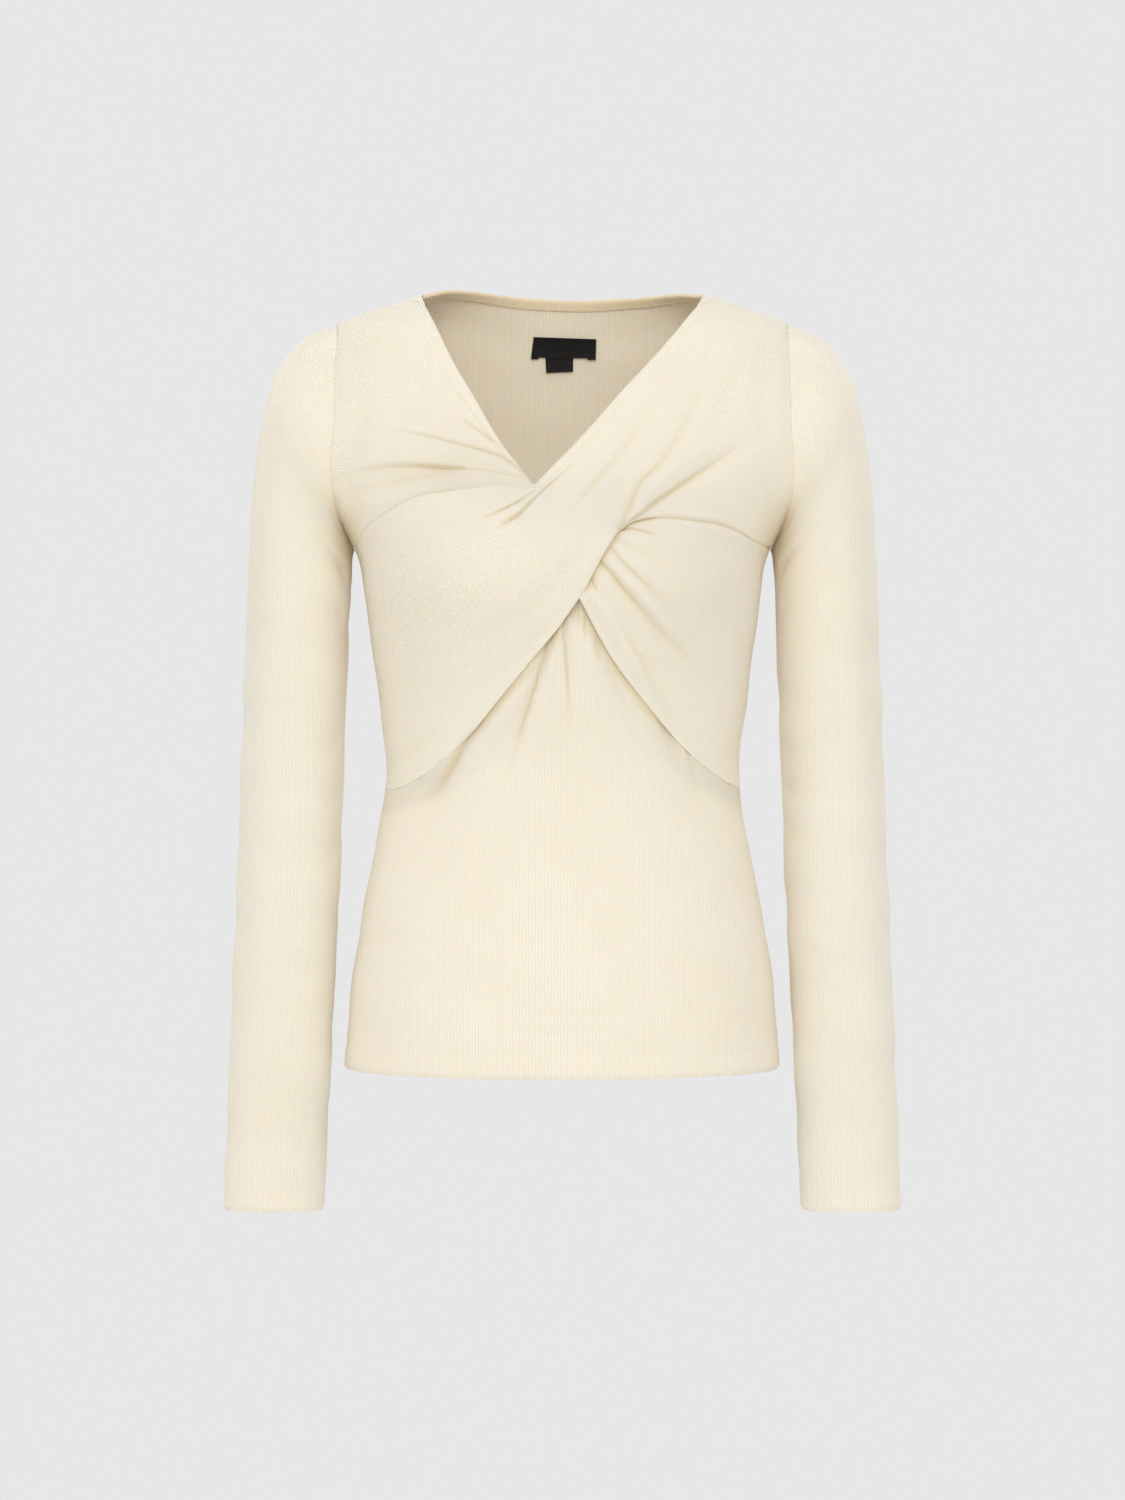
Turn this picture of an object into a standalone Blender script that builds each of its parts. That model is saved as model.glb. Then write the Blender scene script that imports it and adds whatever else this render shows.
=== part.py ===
"""Twist-front knit top, hollow and filled out as if worn.

Run it with: blender --background --python part.py
The front faces -Y, and +X is on the right of someone who looks at the front.  The origin is midway
between the two high shoulder points, where the wearer's shoulders hold the top up.  The tables are in
millimetres, and the meshes in metres.
"""

from collections import namedtuple

import bmesh
import bpy
import numpy as np

MM = 0.001
WELD = 1e-5  # m
NAME = "twist_front_knit_top"

# Driving dimensions, mm
KNIT = 1.2  # wall of the rib knit
SEAM_GAP = 1.1  # between the outer faces of two sewn edges
SHOULDER_TOP = 0.0  # height of the high shoulder points
SHOULDER_END = -21.5  # height of the shoulder points, where the sleeves start
UNDERARM = -184.0
CROSS_END = -356.0  # height where the crossed fronts end on the side seams
HEM = -555.0
ROUNDNESS = 2.25  # exponent of the body's sections: 2 is an ellipse, more is squarer

# Heap of cloth at the twist, mm
TWIST_X, TWIST_Z = 12.0, -190.0
TWIST_WIDE, TWIST_TALL, TWIST_RISE = 55.0, 50.0, 9.0
# The upper layer runs this far off the lower one around the twist
LAYER_GAP, LAYER_X, LAYER_Z, LAYER_WIDE, LAYER_TALL = 5.0, -8.0, -175.0, 95.0, 70.0
FREE_LIFT, FREE_REACH = 2.2, 14.0  # how far a free edge stands off, and how far in that reaches
TUCK_DROP, TUCK_REACH = 2.4, 16.0  # how far the lower front dips under the free edges
CORNER = 34.0  # length over which lifts and dips start at a side seam

# Numbers of cells
SHOULDER_CELLS, ARM_FRONT_CELLS, ARM_BACK_CELLS = 4, 10, 9
OUTER_CELLS, INNER_CELLS = 11, 7  # each half of a crossed front, along its band
HALF_CELLS = OUTER_CELLS + INNER_CELLS
NECK_CELLS, SIDE_CELLS = 12, 11
LOWER_HALF, LOWER_DOWN = 12, 10
CROWD = 0.35  # how much closer cells get towards the seams
RELAX_ROUNDS = 300
BODY_RADIUS = 120.0  # mm of cloth to a radian of turn, about

LEFT, RIGHT = -np.inf, np.inf  # an x past the body's width is on its side seam

Level = namedtuple("Level", "z half_width front back")
LEVELS = (
    Level(-556.0, 156.0, 104.0, 107.0),
    Level(-500.0, 152.5, 102.0, 101.0),
    Level(-450.0, 145.0, 97.0, 90.0),
    Level(-400.0, 135.0, 91.0, 76.0),
    Level(-350.0, 127.0, 89.0, 69.0),
    Level(-290.0, 132.5, 102.0, 74.0),
    Level(-250.0, 138.0, 115.0, 82.0),
    Level(-215.0, 143.0, 123.0, 89.0),
    Level(-185.0, 149.0, 122.0, 93.0),
    Level(-165.0, 161.0, 118.0, 94.0),
    Level(-140.0, 178.0, 111.0, 94.0),
    Level(-100.0, 190.0, 97.0, 91.0),
    Level(-70.0, 187.0, 82.0, 85.0),
    Level(-45.0, 178.0, 68.0, 79.0),
    Level(-21.5, 162.0, 54.0, 72.0),
    Level(-14.0, 143.0, 48.0, 69.0),
    Level(-6.0, 118.0, 41.0, 66.0),
    Level(2.0, 96.0, 34.0, 63.0),
    Level(10.0, 74.0, 28.0, 60.0),
)
HEIGHTS = np.array([level.z for level in LEVELS])

# Fullness of the bust: its place, spread and height, mm
BUST_X, BUST_Z, BUST_WIDE, BUST_TALL, BUST_RISE = 70.0, -212.0, 46.0, 52.0, 13.0

# Edges of the pieces, as (x, z) in mm on the front of the body
V_POINT = (-19.0, -146.0)  # where the two neck edges cross
SEAM_IN_LEFT, SEAM_IN_RIGHT = (-75.0, -149.0), (68.0, -166.5)  # inner ends of the two bust seams
OVER_NECK = (17.0, -216.0)  # the upper band is narrowest from V_POINT to here
UNDER_NECK_TOP, UNDER_NECK_LOW = (4.0, -164.0), (-15.0, -193.0)  # the lower band's narrowest place
APEX = (12.0, -224.0)  # where the lower band comes out from under the upper one
LOWER_APEX = (12.0, -216.0)  # top of the lower front, inside the twist
NECK_EDGE_LEFT = (
    (LEFT, SHOULDER_TOP), (-97, -13), (-89, -32), (-77, -55), (-64, -77), (-43, -114), V_POINT,
)
NECK_EDGE_RIGHT = (
    (RIGHT, SHOULDER_TOP), (95, -13), (82, -30), (62, -54), (41, -78), (11, -113), V_POINT,
)
BUST_SEAM_LEFT = (SEAM_IN_LEFT, (-98, -152), (-124, -163), (LEFT, UNDERARM))
BUST_SEAM_RIGHT = (SEAM_IN_RIGHT, (93, -168), (126, -175), (RIGHT, UNDERARM))
OVER_TOP = (V_POINT, (-44, -147), SEAM_IN_LEFT)
OVER_TURN = (SEAM_IN_RIGHT, (52, -169), (41, -177), (30, -193), OVER_NECK)
FREE_EDGE = (OVER_NECK, (-1, -241), (-38, -286), (-75, -328), (-92, -342), (-112, -353), (LEFT, CROSS_END))
UNDER_HIDDEN_TOP = (UNDER_NECK_TOP, (30, -170), SEAM_IN_RIGHT)
UNDER_HIDDEN_LOW = (SEAM_IN_LEFT, (-50, -157), (-30, -174), UNDER_NECK_LOW)
UNDER_EDGE = (APEX, (33, -263), (63, -302), (89, -330), (111, -347), (RIGHT, CROSS_END))
LOWER_TOP_LEFT = (
    (LEFT, CROSS_END), (-112, -351), (-98, -339), (-75, -317), (-38, -275), (-6, -232), LOWER_APEX,
)
LOWER_TOP_RIGHT = (
    LOWER_APEX, (38, -254), (66, -290), (91, -323), (106, -341), (117, -352), (RIGHT, CROSS_END),
)
ARMHOLE = (
    (RIGHT, SHOULDER_END), (160.5, -31), (161, -53), (161, -104), (163, -130), (159, -162), (RIGHT, UNDERARM),
)
BACK_NECK = (
    (RIGHT, SHOULDER_TOP), (82, 4), (50, 5), (12, 5.5), (-25, 6.5), (-60, 7), (-82, 5), (LEFT, SHOULDER_TOP),
)

# A fold is a trough, or a ridge where its depth is below zero.  depth and width hold at the first point
# of its path and far_depth and far_width at the last, mm.
Fold = namedtuple("Fold", "path depth far_depth width far_width")
OVER_FOLDS = (
    Fold(((2, -137), (-17, -151), (-42, -175), (-63, -184)), 4.5, 0.5, 6, 10),
    Fold(((46, -165), (53, -141), (73, -113), (94, -83), (101, -48)), 4.0, 1.0, 8, 12),
    Fold(((56, -171), (66, -160), (87, -140), (110, -123), (139, -101)), 3.5, 1.0, 7, 12),
    Fold(((58, -158), (80, -132), (106, -110)), -3.0, -0.5, 8, 12),
    Fold(((24, -150), (0, -180), (-40, -216), (-80, -236)), -3.5, -1.0, 11, 18),
    Fold(((10, -196), (-14, -218), (-40, -240), (-80, -272)), 3.0, 0.6, 9, 16),
)
UNDER_FOLDS = (
    Fold((V_POINT, (-44, -124), (-68, -115), (-92, -108), (-121, -101)), 5.0, 1.0, 6, 11),
    Fold((V_POINT, (-44, -136), (-74, -131), (-116, -129), (-141, -130)), 4.5, 1.2, 6, 11),
    Fold(((-34, -128), (-46, -116), (-64, -98)), 3.0, 0.6, 5, 8),
    Fold(((-34, -131), (-74, -123), (-112, -114)), -2.5, -0.8, 6, 11),
    Fold(((-30, -146), (-70, -141), (-104, -144)), -2.5, -0.8, 5, 9),
    Fold(((34, -190), (43, -203), (60, -218), (84, -236)), -4.0, -1.0, 6, 13),
    Fold(((22, -206), (50, -234), (81, -246), (110, -279)), 4.5, 1.0, 7, 13),
    Fold(((42, -190), (66, -202), (96, -210)), 2.5, 0.4, 7, 14),
    Fold(((18, -222), (38, -256), (66, -290)), -2.5, -0.5, 6, 10),
)
LOWER_FOLDS = (
    Fold(((3, -236), (3, -262), (4, -281), (7, -330)), 4.0, 0.8, 6, 10),
    Fold(((-4, -240), (-15, -266), (-23, -291), (-36, -335), (-42, -362)), 6.0, 1.0, 7, 13),
    Fold(((-10, -262), (-12, -284), (-16, -320)), -2.5, -0.6, 6, 10),
    Fold(((-30, -284), (-50, -315), (-76, -346)), -3.5, -1.0, 8, 12),
    Fold(((-56, -306), (-73, -328), (-92, -344), (-112, -362)), 4.0, 1.0, 7, 10),
    Fold(((18, -246), (30, -276), (42, -318)), -3.0, -0.5, 8, 13),
    Fold(((34, -262), (50, -292), (70, -330)), 2.5, 0.5, 8, 12),
)
BACK_FOLDS = (
    Fold(((-127, -345), (-86, -338), (-40, -344)), 3.5, 0.8, 11, 15),
    Fold(((127, -352), (92, -349), (50, -360)), 4.0, 0.8, 11, 16),
    Fold(((120, -316), (78, -322), (30, -318)), 3.0, 0.6, 11, 16),
    Fold(((-118, -306), (-70, -318)), 2.5, 0.6, 11, 15),
    Fold(((142, -182), (118, -150), (96, -112)), 4.5, 0.8, 10, 16),
    Fold(((-142, -180), (-120, -146), (-104, -100)), 4.0, 0.8, 10, 16),
)

# Sections of the right sleeve, from the armhole to the cuff, mm: its inner and outer points, half its
# depth, how far its middle lies to the front, and how much of the armhole's own shape it keeps.
Ring = namedtuple("Ring", "inner_x inner_z outer_x outer_z half_depth forward armhole")
RINGS = (
    Ring(149.4, UNDERARM, 162.0, SHOULDER_END, 58, 2, 1.0),
    Ring(150.0, -185, 190.0, -36, 60, 2, 0.7),
    Ring(150.4, -186, 206.0, -59, 59, 2, 0.4),
    Ring(150.9, -188, 216.0, -95, 56, 1, 0.2),
    Ring(151.5, -191, 222.5, -143, 53, 1, 0.05),
    Ring(152.4, -202, 225.5, -196, 50, 0, 0.0),
    Ring(155.0, -265, 228.5, -262, 48, -2, 0.0),
    Ring(158.0, -345, 231.5, -345, 45, -4, 0.0),
    Ring(160.5, -420, 234.0, -420, 41, -1, 0.0),
    Ring(164.0, -500, 237.0, -500, 35, 5, 0.0),
    Ring(168.0, -590, 240.0, -590, 28, 12, 0.0),
    Ring(170.5, -655.5, 241.8, -655.5, 24.5, 16, 0.0),
)

# Trim, mm
TRIM_OFF, TAPE_OFF = 1.5, 0.8  # clear of the back's inner face
BAND_DROP, BAND_TALL, BAND_WALL = 0.5, 8.0, 1.0
BAND_TRIM = 0.5  # share of its end cells that the neck binding stops short of the shoulders
TAPE_WALL = 1.0
LABEL_BOX = (-23.5, 25.0, -38.5, -23.0)  # left, right, low, high
TAB_BOX = (-13.0, 8.0, -49.0, -39.0)

RIB_KNIT = ((0.94, 0.91, 0.84), 0.9)
BINDING = ((0.85, 0.78, 0.65), 0.85)
WOVEN_TAPE = ((0.14, 0.13, 0.13), 0.7)


def hermite(at, knots, values, slopes):
    """Smooth curve through values at the knots, with the given slopes."""
    i = np.clip(np.searchsorted(knots, at) - 1, 0, len(knots) - 2)
    width = knots[i + 1] - knots[i]
    t = (at - knots[i]) / width
    if values.ndim > 1:
        width, t = width[..., None], t[..., None]
    ahead = t * t * (3 - 2 * t)
    return (
        values[i] * (1 - ahead)
        + values[i + 1] * ahead
        + slopes[i] * width * t * (1 - t) ** 2
        - slopes[i + 1] * width * t * t * (1 - t)
    )


def size_at(column, z):
    """A column of LEVELS at height z, smoothly between its rows."""
    values = np.array([getattr(level, column) for level in LEVELS])
    return hermite(np.clip(z, HEIGHTS[0], HEIGHTS[-1]), HEIGHTS, values, np.gradient(values, HEIGHTS))


def rounded(value):
    """Sine or cosine, bent for the body's squarish sections."""
    return np.sign(value) * np.abs(value) ** (2 / ROUNDNESS)


def body(turn, z):
    """Points on the body: turn is 0 at the front's middle and a quarter turn at the right side seam."""
    sine, cosine = np.sin(turn), np.cos(turn)
    depth = np.where(cosine > 0, size_at("front", z), size_at("back", z))
    x = size_at("half_width", z) * rounded(sine)
    bust = np.exp(-(((np.abs(x) - BUST_X) / BUST_WIDE) ** 2) - ((z - BUST_Z) / BUST_TALL) ** 2)
    y = -depth * rounded(cosine) - BUST_RISE * bust * np.clip(cosine, 0, 1)
    return np.stack([x, y, z], axis=-1)


def outward(turn, z):
    """Unit vectors that point out of the body."""
    step = 1e-3
    around = body(turn + step, z) - body(turn - step, z)
    up = body(turn, z + step) - body(turn, z - step)
    normal = np.cross(around, up)
    return normal / np.linalg.norm(normal, axis=-1, keepdims=True)


def turn_at(x, z, back=False):
    """The turn of a point of the front, or of the back, that has this x."""
    share = np.clip(np.abs(x) / size_at("half_width", z), 0, 1)
    turn = np.sign(x) * np.arcsin(share ** (ROUNDNESS / 2))
    return np.pi - turn if back else turn


def lengths(points):
    """Distance along a line of points, from its start."""
    return np.append(0.0, np.cumsum(np.linalg.norm(np.diff(points, axis=0), axis=1)))


def track(stations, back=False):
    """A smooth line on the body through (x, z) stations, as close rows of (turn, z)."""
    x, z = np.array(stations, dtype=float).T
    half_width = size_at("half_width", z)
    stations = np.stack([np.clip(x, -half_width, half_width), z], axis=-1)
    knots = lengths(body(turn_at(*stations.T, back), z))
    slopes = np.gradient(stations, knots, axis=0)
    x, z = hermite(np.linspace(0, knots[-1], 240), knots, stations, slopes).T
    return np.stack([turn_at(x, z, back), z], axis=-1)


def spread(line, cells, crowd=0.0):
    """Rows along a track at even steps, or closer together at both ends."""
    share = np.linspace(0, 1, cells + 1)
    share = share + crowd * ((1 - np.cos(np.pi * share)) / 2 - share)
    run = lengths(body(line[:, 0], line[:, 1]))
    return np.stack([np.interp(share * run[-1], run, column) for column in line.T], axis=-1)


def joined(*legs):
    """Several rows end to end, each starting where the one before it ends."""
    return np.vstack([legs[0]] + [leg[1:] for leg in legs[1:]])


def patch(top, bottom, start, end):
    """Rows and columns of (turn, z) that fill four edges which meet at their corners."""
    along = [lengths(body(edge[:, 0], edge[:, 1])) for edge in (top, bottom, start, end)]
    along = [run / run[-1] for run in along]
    u, v = ((along[0] + along[1]) / 2)[None, :, None], ((along[2] + along[3]) / 2)[:, None, None]
    between = (1 - v) * top[None] + v * bottom[None] + (1 - u) * start[:, None] + u * end[:, None]
    corners = (1 - u) * ((1 - v) * top[0] + v * bottom[0]) + u * ((1 - v) * top[-1] + v * bottom[-1])
    return relaxed(between - corners)


def side_run():
    """Heights, and how far along the side seam and shoulder each one lies, mm."""
    z = np.linspace(HEIGHTS[0], HEIGHTS[-1], 600)
    return z, lengths(body(np.full_like(z, np.pi / 2), z))


def relaxed(grid):
    """The grid with its inner points moved until its cells are even and none folds over (Winslow)."""
    heights, run = side_run()
    points = np.stack([grid[..., 0] * BODY_RADIUS, np.interp(grid[..., 1], heights, run)], axis=-1)
    for _ in range(RELAX_ROUNDS):
        right, left = points[1:-1, 2:], points[1:-1, :-2]
        below, above = points[2:, 1:-1], points[:-2, 1:-1]
        across, down = (right - left) / 2, (below - above) / 2
        wide = (down**2).sum(axis=-1, keepdims=True)
        tall = (across**2).sum(axis=-1, keepdims=True)
        skew = (across * down).sum(axis=-1, keepdims=True)
        twist = (points[2:, 2:] - points[2:, :-2] - points[:-2, 2:] + points[:-2, :-2]) / 4
        points[1:-1, 1:-1] = (wide * (right + left) + tall * (below + above) - 2 * skew * twist) / (
            2 * (wide + tall)
        )
    return np.stack([points[..., 0] / BODY_RADIUS, np.interp(points[..., 1], run, heights)], axis=-1)


def to_line(x, z, stations):
    """Distance from points to a smooth line through (x, z) stations, and the share of it passed."""
    stations = np.array([(np.clip(a, -150, 150), b) for a, b in stations], dtype=float)
    knots = lengths(stations)
    line = hermite(np.linspace(0, knots[-1], 60), knots, stations, np.gradient(stations, knots, axis=0))
    apart = np.hypot(x[..., None] - line[:, 0], z[..., None] - line[:, 1])
    return apart.min(axis=-1), apart.argmin(axis=-1) / (len(line) - 1)


def folded(x, z, folds):
    """How far the folds move the cloth out, mm."""
    total = np.zeros_like(x)
    for fold in folds:
        off, share = to_line(x, z, fold.path)
        depth = fold.depth + (fold.far_depth - fold.depth) * share
        width = fold.width + (fold.far_width - fold.width) * share
        total -= depth * np.exp(-((off / width) ** 2))
    return total


def eased(value):
    """0 up to 0, 1 from 1 on, and smooth between."""
    t = np.clip(value, 0, 1)
    return t * t * (3 - 2 * t)


def heap(x, z):
    """How far the crossing bands stand off the body around the twist, mm."""
    return TWIST_RISE * np.exp(-(((x - TWIST_X) / TWIST_WIDE) ** 2) - ((z - TWIST_Z) / TWIST_TALL) ** 2)


def apart(x, z):
    """Distance between the outer faces of the two crossing bands, mm."""
    reach = ((x - LAYER_X) / LAYER_WIDE) ** 2 + ((z - LAYER_Z) / LAYER_TALL) ** 2
    return LAYER_GAP * np.exp(-(reach**2))


def from_side_seam(x, z):
    """0 at a side seam and 1 further in than CORNER."""
    return eased((size_at("half_width", z) - np.abs(x)) / CORNER * 1.6)


def near(x, z, stations, reach):
    """1 on a line and 0 away from it."""
    return np.exp(-((to_line(x, z, stations)[0] / reach) ** 2))


def over_off(x, z):
    """How far the upper band stands off the body, mm."""
    lift = FREE_LIFT * near(x, z, FREE_EDGE, FREE_REACH) * from_side_seam(x, z)
    return heap(x, z) + lift + folded(x, z, OVER_FOLDS)


def under_off(x, z):
    """How far the lower band stands off the body, mm: it follows the upper band's folds beneath it."""
    lift = FREE_LIFT * near(x, z, UNDER_EDGE, FREE_REACH) * from_side_seam(x, z)
    gap = apart(x, z)
    pressed = folded(x, z, OVER_FOLDS) * gap / LAYER_GAP
    return heap(x, z) - gap + lift + pressed + folded(x, z, UNDER_FOLDS)


def lower_off(x, z):
    """How far the lower front stands off the body, mm: it dips under both free edges."""
    edge = np.maximum(near(x, z, FREE_EDGE, TUCK_REACH), near(x, z, UNDER_EDGE, TUCK_REACH))
    return folded(x, z, LOWER_FOLDS) - TUCK_DROP * edge * from_side_seam(x, z)


def moved_out(grid, off):
    """Points of a (turn, z) grid on the body, moved out by off(x, z), mm."""
    points = body(grid[..., 0], grid[..., 1])
    off = off(points[..., 0], points[..., 2])
    return points + outward(grid[..., 0], grid[..., 1]) * off[..., None]


def drawn_in(points, tube=False):
    """The same grid with its edges drawn in by half a seam's gap; a tube has no side edges."""
    points = points.copy()
    edges = [(points[0], points[1]), (points[-1], points[-2])]
    if not tube:
        edges += [(points[:, 0], points[:, 1]), (points[:, -1], points[:, -2])]
    for edge, inner in edges:
        ahead = np.gradient(edge, axis=0)
        if tube:
            ahead[[0, -1]] = edge[1] - edge[-2]
        ahead /= np.linalg.norm(ahead, axis=-1, keepdims=True)
        step = inner - edge
        step -= (step * ahead).sum(axis=-1, keepdims=True) * ahead
        edge += step / np.linalg.norm(step, axis=-1, keepdims=True) * SEAM_GAP / 2
    return points


def material(name, finish):
    """Principled material with a finish's colour and roughness."""
    colour, roughness = finish
    made = bpy.data.materials.new(name)
    made.use_nodes = True
    shader = made.node_tree.nodes["Principled BSDF"]
    shader.inputs["Base Color"].default_value = (*colour, 1.0)
    shader.inputs["Roughness"].default_value = roughness
    made.diffuse_color = (*colour, 1.0)
    return made


def shell(name, points, wall, finish, collection, tube=False):
    """A sheet through a grid of points in mm, thickened inwards to a wall."""
    rows, columns = points.shape[0] - 1, points.shape[1] - 1
    sheet = bmesh.new()
    bmesh.ops.create_grid(sheet, x_segments=columns, y_segments=rows, size=1.0)
    for vert in sheet.verts:
        column, row = round((vert.co.x + 1) / 2 * columns), round((vert.co.y + 1) / 2 * rows)
        vert.co = points[row, column] * MM
    if tube:
        bmesh.ops.remove_doubles(sheet, verts=sheet.verts, dist=WELD)
    row, column = rows // 2, columns // 2
    across = points[row, column + 1] - points[row, column]
    down = points[row + 1, column] - points[row, column]
    if np.dot(np.cross(across, down), points[row, column] - points.mean(axis=(0, 1))) < 0:
        bmesh.ops.reverse_faces(sheet, faces=sheet.faces)
    for edge in sheet.edges:
        edge.smooth = not edge.is_boundary
    mesh = bpy.data.meshes.new(name)
    sheet.to_mesh(mesh)
    sheet.free()
    mesh.shade_smooth()
    mesh.materials.append(material(name + "_cloth", finish))
    piece = bpy.data.objects.new(name, mesh)
    collection.objects.link(piece)
    thick = piece.modifiers.new("wall", "SOLIDIFY")
    thick.thickness = wall * MM
    thick.offset = -1.0
    return piece


def mirrored(rows):
    """Rows of (turn, z) on the other side of the body."""
    return rows * (-1, 1)


def at_back(rows):
    """Rows of (turn, z) of the front, taken round to the back."""
    return rows * (-1, 1) + (np.pi, 0)


def side_rows(high, low, cells, turn=np.pi / 2):
    """Rows of (turn, z) down a side seam, or any line of one turn."""
    return np.stack([np.full(cells + 1, turn), np.linspace(high, low, cells + 1)], axis=-1)


def ring_rows(z, first, last, cells):
    """Rows of (turn, z) around the body at one height."""
    level = np.stack([np.linspace(first, last, 240), np.full(240, z)], axis=-1)
    return spread(level, cells, CROWD)


def shoulder_rows():
    """The right shoulder seam, from the neck outwards."""
    return side_rows(SHOULDER_TOP, SHOULDER_END, SHOULDER_CELLS)


def armhole_rows(cells):
    """The right armhole on the front, from the shoulder to the underarm."""
    return spread(track(ARMHOLE), cells)


def cross_over():
    """The upper band: from the right shoulder and armhole to the left side seam."""
    top = joined(
        spread(track(NECK_EDGE_RIGHT), HALF_CELLS, CROWD),
        spread(track(OVER_TOP), INNER_CELLS),
        spread(track(BUST_SEAM_LEFT), OUTER_CELLS),
    )
    bottom = joined(
        spread(track(BUST_SEAM_RIGHT), OUTER_CELLS)[::-1],
        spread(track(OVER_TURN), INNER_CELLS),
        spread(track(FREE_EDGE), HALF_CELLS, CROWD),
    )
    start = joined(shoulder_rows(), armhole_rows(ARM_FRONT_CELLS))
    end = mirrored(side_rows(UNDERARM, CROSS_END, len(start) - 1))
    return moved_out(patch(top, bottom, start, end), over_off)


def cross_under():
    """The lower band: from the left shoulder and armhole, under the other, to the right side seam."""
    tuck_cells = 2
    top = joined(
        spread(track(NECK_EDGE_LEFT), HALF_CELLS - tuck_cells, CROWD),
        spread(track((V_POINT, UNDER_NECK_TOP)), tuck_cells),
        spread(track(UNDER_HIDDEN_TOP), INNER_CELLS),
        spread(track(BUST_SEAM_RIGHT), OUTER_CELLS),
    )
    bottom = joined(
        spread(track(BUST_SEAM_LEFT), OUTER_CELLS)[::-1],
        spread(track(UNDER_HIDDEN_LOW), INNER_CELLS),
        spread(track((UNDER_NECK_LOW, APEX)), tuck_cells + 1),
        spread(track(UNDER_EDGE), HALF_CELLS - tuck_cells - 1, CROWD),
    )
    start = mirrored(joined(shoulder_rows(), armhole_rows(ARM_FRONT_CELLS)))
    end = side_rows(UNDERARM, CROSS_END, len(start) - 1)
    return moved_out(patch(top, bottom, start, end), under_off)


def lower_front():
    """The lower front, from inside the twist to the hem."""
    top = joined(
        spread(track(LOWER_TOP_LEFT), LOWER_HALF, CROWD),
        spread(track(LOWER_TOP_RIGHT), LOWER_HALF, CROWD),
    )
    bottom = ring_rows(HEM, -np.pi / 2, np.pi / 2, 2 * LOWER_HALF)
    side = side_rows(CROSS_END, HEM, LOWER_DOWN)
    return moved_out(patch(top, bottom, mirrored(side), side), lower_off)


def back():
    """The back, from the neck and shoulders to the hem."""
    shoulder = at_back(shoulder_rows())
    neck = spread(track(BACK_NECK, back=True), NECK_CELLS)
    other = at_back(mirrored(shoulder_rows()))
    top = joined(shoulder[::-1], neck, other)
    bottom = ring_rows(HEM, np.pi / 2, 3 * np.pi / 2, len(top) - 1)
    side = joined(armhole_rows(ARM_BACK_CELLS), side_rows(UNDERARM, HEM, SIDE_CELLS))
    start, end = at_back(side), at_back(mirrored(side))
    return moved_out(patch(top, bottom, start, end), lambda x, z: folded(x, z, BACK_FOLDS))


def half_ring(ring, cells, front):
    """Half of a sleeve's section, from its outer point round to its inner one, at even steps."""
    inner = np.array([ring.inner_x, 0.0, ring.inner_z])
    outer = np.array([ring.outer_x, 0.0, ring.outer_z])
    angle = np.linspace(0, np.pi, 200)[:, None]
    reach = (outer - inner) / 2
    sideways = np.array([0.0, -ring.half_depth if front else ring.half_depth, 0.0])
    middle = (outer + inner) / 2
    points = middle + reach * rounded(np.cos(angle)) + sideways * rounded(np.sin(angle))
    points[:, 1] -= ring.forward
    run = lengths(points)
    at = np.linspace(0, run[-1], cells + 1)
    return np.stack([np.interp(at, run, column) for column in points.T], axis=-1)


def full_ring(ring):
    """A sleeve's section: down its front and up its back."""
    front = half_ring(ring, ARM_FRONT_CELLS, front=True)
    rear = half_ring(ring, ARM_BACK_CELLS, front=False)
    return joined(front, rear[::-1])


def sleeve():
    """The right sleeve, from its armhole to its cuff."""
    front = armhole_rows(ARM_FRONT_CELLS)
    rear = at_back(armhole_rows(ARM_BACK_CELLS))
    armhole = joined(body(front[:, 0], front[:, 1]), body(rear[:, 0], rear[:, 1])[::-1])
    own_shape = armhole - full_ring(RINGS[0])
    return np.array([full_ring(ring) + own_shape * ring.armhole for ring in RINGS])


def neck_band(panel):
    """The narrow binding inside the back neck edge, from the back panel's points."""
    edge, below = panel[:2, SHOULDER_CELLS : SHOULDER_CELLS + NECK_CELLS + 1]
    down = below - edge
    down /= np.linalg.norm(down, axis=-1, keepdims=True)
    inward = np.cross(np.gradient(edge, axis=0), down)
    inward /= np.linalg.norm(inward, axis=-1, keepdims=True)
    inward *= np.sign((inward * -edge).sum(axis=-1, keepdims=True))
    edge = edge + inward * (KNIT + TRIM_OFF)
    band = np.array([edge + down * (BAND_DROP + BAND_TALL * share) for share in (0, 0.5, 1)])
    band[:, [0, -1]] += (band[:, [1, -2]] - band[:, [0, -1]]) * BAND_TRIM
    return band


def tape(left, right, low, high):
    """A flat piece of tape on the inside of the back."""
    x, z = np.meshgrid(np.linspace(left, right, 3), np.linspace(high, low, 3))
    rows = np.stack([turn_at(x, z, back=True), z], axis=-1)
    return moved_out(rows, lambda x, z: np.full_like(x, -KNIT - TAPE_OFF))


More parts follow.
